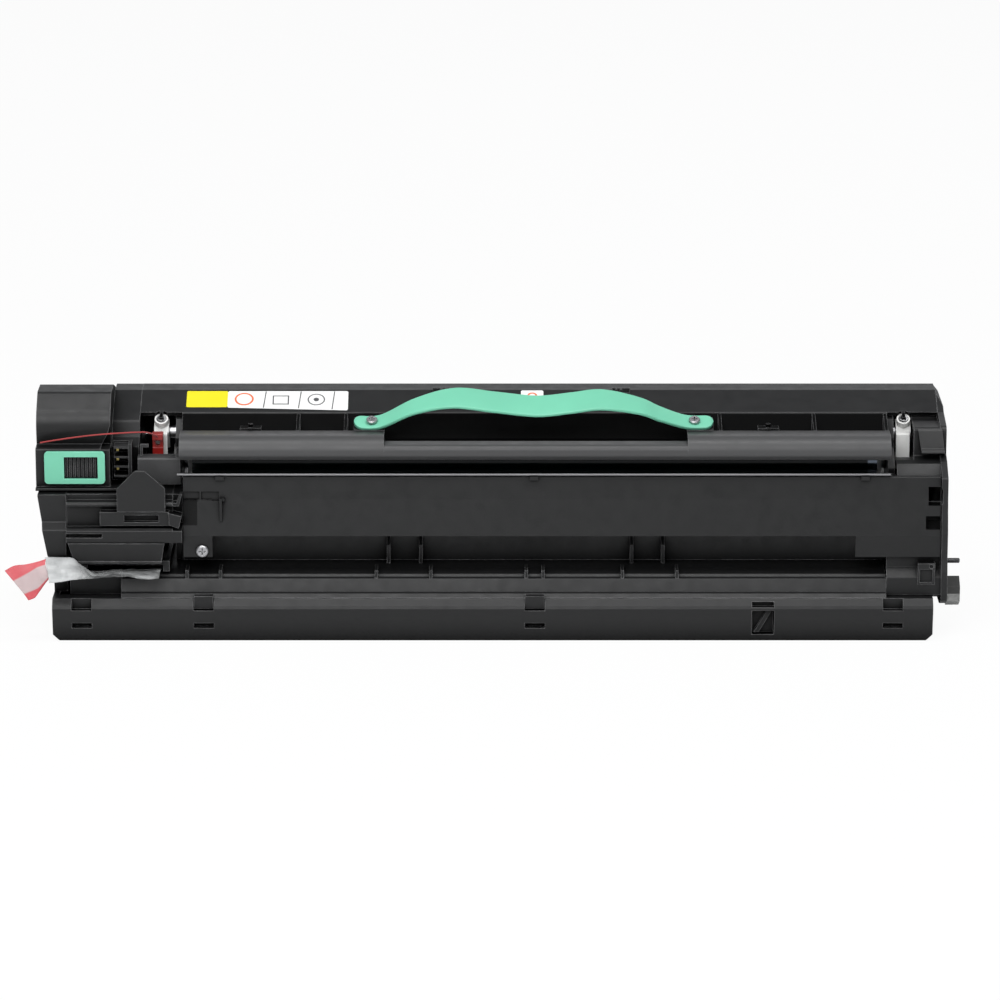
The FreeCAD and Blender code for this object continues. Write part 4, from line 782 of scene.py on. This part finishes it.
def filmFinish(name):
    material, tree, shader = startFinish(name)
    haze = cloud(tree, film["haze"], 1.5)
    creases = cloud(tree, film["creaseWidth"], 1.5, film["creaseStretch"])
    connect(tree, blendColor(tree, haze, *film["colors"]), shader.inputs["Base Color"])
    connect(tree, mottled(tree, haze, *film["roughness"]), shader.inputs["Roughness"])
    # The film is cloudier at the left, where it lies double
    solid = spread(tree, sheetSpot(tree)["X"], *film["doubleTo"], *film["cloudy"])
    streaks = spread(tree, creases, *film["streaks"])
    connect(tree, number(tree, "ADD", solid, streaks, True), shader.inputs["Alpha"])
    relief(tree, shader, creases, film["creaseStrength"], film["creaseDepth"])
    return material


def tapeFinish(name):
    material, tree, shader = startFinish(name)
    down = sheetSpot(tree)["Y"]
    fibres = cloud(tree, tape["fibre"], 3.0)
    smudges = cloud(tree, tape["smudge"], 3.0)
    top, foot = tape["stripe"]
    blur = tape["stripeBlur"]
    middle = number(tree, "MULTIPLY", spread(tree, down, top - blur, top + blur, 0.0, 1.0),
                    spread(tree, down, foot - blur, foot + blur, 1.0, 0.0))
    red = blendColor(tree, smudges, *tape["reds"])
    pale = blendColor(tree, smudges, *tape["pales"])
    connect(tree, blendColor(tree, middle, red, pale), shader.inputs["Base Color"])
    connect(tree, mottled(tree, smudges, *tape["roughness"]), shader.inputs["Roughness"])
    shader.inputs["Subsurface Weight"].default_value = tape["soft"]
    shader.inputs["Subsurface Radius"].default_value = tape["softReach"]
    relief(tree, shader, fibres, tape["fibreStrength"], tape["fibreDepth"])
    return material


def filmSpot(across, down):
    rows = [along(film[row], across) for row in ("root", "edge", "fold", "low")]
    spot = along(rows, down)
    wave = sum(share * noise.noise(Vector((spot.x * lengthwise, down * crosswise, layer)))
               for share, lengthwise, crosswise, layer in film["waves"])
    calm = min(1.0, film["calmEnds"] * across, film["calmEnds"] * (1.0 - across))
    return spot + Vector(film["towards"]) * wave * film["crease"] * calm


def tapeSpot(across, down):
    rows = [along(row, across) for row in tape["lines"]]
    places = tape["places"]
    gaps = len(places) - 1
    gap = 0
    while gap < gaps - 1 and down > places[gap + 1]:
        gap += 1
    low, high = places[gap], places[gap + 1]
    spot = along(rows, (gap + (down - low) / (high - low)) / gaps)
    lengthwise, crosswise, layer = tape["waves"]
    wave = noise.noise(Vector((across * lengthwise, down * crosswise, layer)))
    return spot + Vector(tape["towards"]) * wave * tape["wave"]


filmPiece, filmArea = sheetFrom("sealFilm", filmSpot, film["columns"], film["rows"],
                                filmFinish("cloudyFilm"), film["thickness"])
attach(filmPiece, "housing")
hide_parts("seal_film")
tapePiece, tapeArea = sheetFrom("pullTape", tapeSpot, tape["columns"], tape["rows"],
                                tapeFinish("stripedTape"), tape["thickness"])
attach(tapePiece, "housing")
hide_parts("pull_tape")

# Stickers on the sloping band: a shape's corner is x in millimetres and a share of the slope
band = {
    "low": (-6.5, 99.9),
    "ridge": (8.0, 107.3),
    "slope": 16.3,
    "lift": 0.02,
    "layer": 0.02,
    "thickness": 0.05,
    "cornerCut": 0.6,
    "discStep": 20,
    "dividerWidth": 0.5,
    "dividerLean": 1.0,
    "dividerTop": 0.92,
}
printing = {
    "colors": {
        "yellow": (0.82, 0.72, 0.012),
        "white": (0.84, 0.84, 0.83),
        "orange": (0.78, 0.16, 0.05),
        "grey": (0.08, 0.08, 0.085),
    },
    "smudge": 12.0,
    "smudgeShades": (0.93, 1.0),
    "roughness": (0.28, 0.40),
    "fibre": 0.8,
    "fibreStrength": 0.08,
    "fibreDepth": 0.1,
}


def bandSpot(x, share, lift):
    low, ridge = band["low"], band["ridge"]
    slope = math.hypot(ridge[0] - low[0], ridge[1] - low[1])
    out = ((low[1] - ridge[1]) / slope, (ridge[0] - low[0]) / slope)
    return inMetres((x, low[0] + (ridge[0] - low[0]) * share + out[0] * lift,
                     low[1] + (ridge[1] - low[1]) * share + out[1] * lift))


def printedFinish(name, color):
    material, tree, shader = startFinish(name)
    fibres = cloud(tree, printing["fibre"], 3.0)
    smudges = cloud(tree, printing["smudge"], 3.0)
    base = patchy(tree, smudges, color, printing["smudgeShades"])
    connect(tree, base, shader.inputs["Base Color"])
    connect(tree, mottled(tree, smudges, *printing["roughness"]), shader.inputs["Roughness"])
    relief(tree, shader, fibres, printing["fibreStrength"], printing["fibreDepth"])
    return material


printColors = {color: printedFinish("print" + color.capitalize(), value)
               for color, value in printing["colors"].items()}


def flatShape(corners, lift):
    # A thin plate on the band, lift above it
    count = len(corners)
    spots = [bandSpot(x, share, lift) for x, share in corners]
    spots += [bandSpot(x, share, lift + band["thickness"]) for x, share in corners]
    faces = [tuple(range(count, 2 * count)), tuple(range(count - 1, -1, -1))]
    faces += [(i, (i + 1) % count, count + (i + 1) % count, count + i) for i in range(count)]
    return spots, faces


def buildSticker(name, shapes):
    spots, faces, colors, kinds = [], [], [], []
    for color, corners, layer in shapes:
        if color not in kinds:
            kinds.append(color)
        more, sides = flatShape(corners, band["lift"] + band["layer"] * layer)
        faces += [tuple(i + len(spots) for i in side) for side in sides]
        colors += [kinds.index(color)] * len(sides)
        spots += more
    piece = pieceFrom(name, spots, faces, printColors[kinds[0]], smooth=False)
    for kind in kinds[1:]:
        piece.data.materials.append(printColors[kind])
    piece.data.polygons.foreach_set("material_index", colors)
    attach(piece, "housing")


def field(x0, x1, s0, s1, color, tilt=0.0):
    # The sticker's own sheet with its corners cut off; tilt lowers its right foot
    cutOff = band["cornerCut"]
    share = cutOff / band["slope"]
    corners = [(x0 + cutOff, s0), (x1 - cutOff, s0 - tilt),
               (x1, s0 - tilt + share), (x1, s1 - share),
               (x1 - cutOff, s1), (x0 + cutOff, s1),
               (x0, s1 - share), (x0, s0 + share)]
    return (color, corners, 0)


def block(x0, x1, s0, s1, color, layer=1):
    return (color, [(x0, s0), (x1, s0), (x1, s1), (x0, s1)], layer)


def divider(x, foot):
    # A thin slanting line between two fields
    wide, lean, top = band["dividerWidth"], band["dividerLean"], band["dividerTop"]
    return ("grey", [(x, foot), (x + wide, foot), (x + lean + wide, top), (x + lean, top)], 1)


def disc(x, share, radius, color, layer=1):
    turns = [math.radians(angle) for angle in range(0, 360, band["discStep"])]
    corners = [(x + radius * math.cos(turn), share + radius / band["slope"] * math.sin(turn))
               for turn in turns]
    return (color, corners, layer)


stickers = {
    "bandSticker": [
        field(-145.4, -125.8, 0.22, 0.94, "yellow"),
        field(-125.8, -68.4, 0.20, 0.94, "white", tilt=0.12),
        divider(-108.9, 0.20),
        divider(-92.2, 0.17),
        divider(-76.2, 0.13),
        disc(-118.0, 0.58, 4.6, "orange"),
        disc(-118.0, 0.58, 3.7, "white", 2),
        block(-104.4, -96.6, 0.34, 0.74, "grey"),
        block(-103.8, -97.2, 0.38, 0.70, "white", 2),
        disc(-83.6, 0.56, 4.2, "grey"),
        disc(-83.6, 0.56, 3.6, "white", 2),
        disc(-83.6, 0.56, 1.3, "grey", 3),
    ],
    "smallSticker": [
        field(14.0, 24.7, 0.48, 0.97, "white"),
        disc(19.4, 0.73, 2.4, "orange"),
        disc(19.4, 0.73, 1.5, "white", 2),
    ],
}
for name, shapes in stickers.items():
    buildSticker(name, shapes)
print("stickers placed")
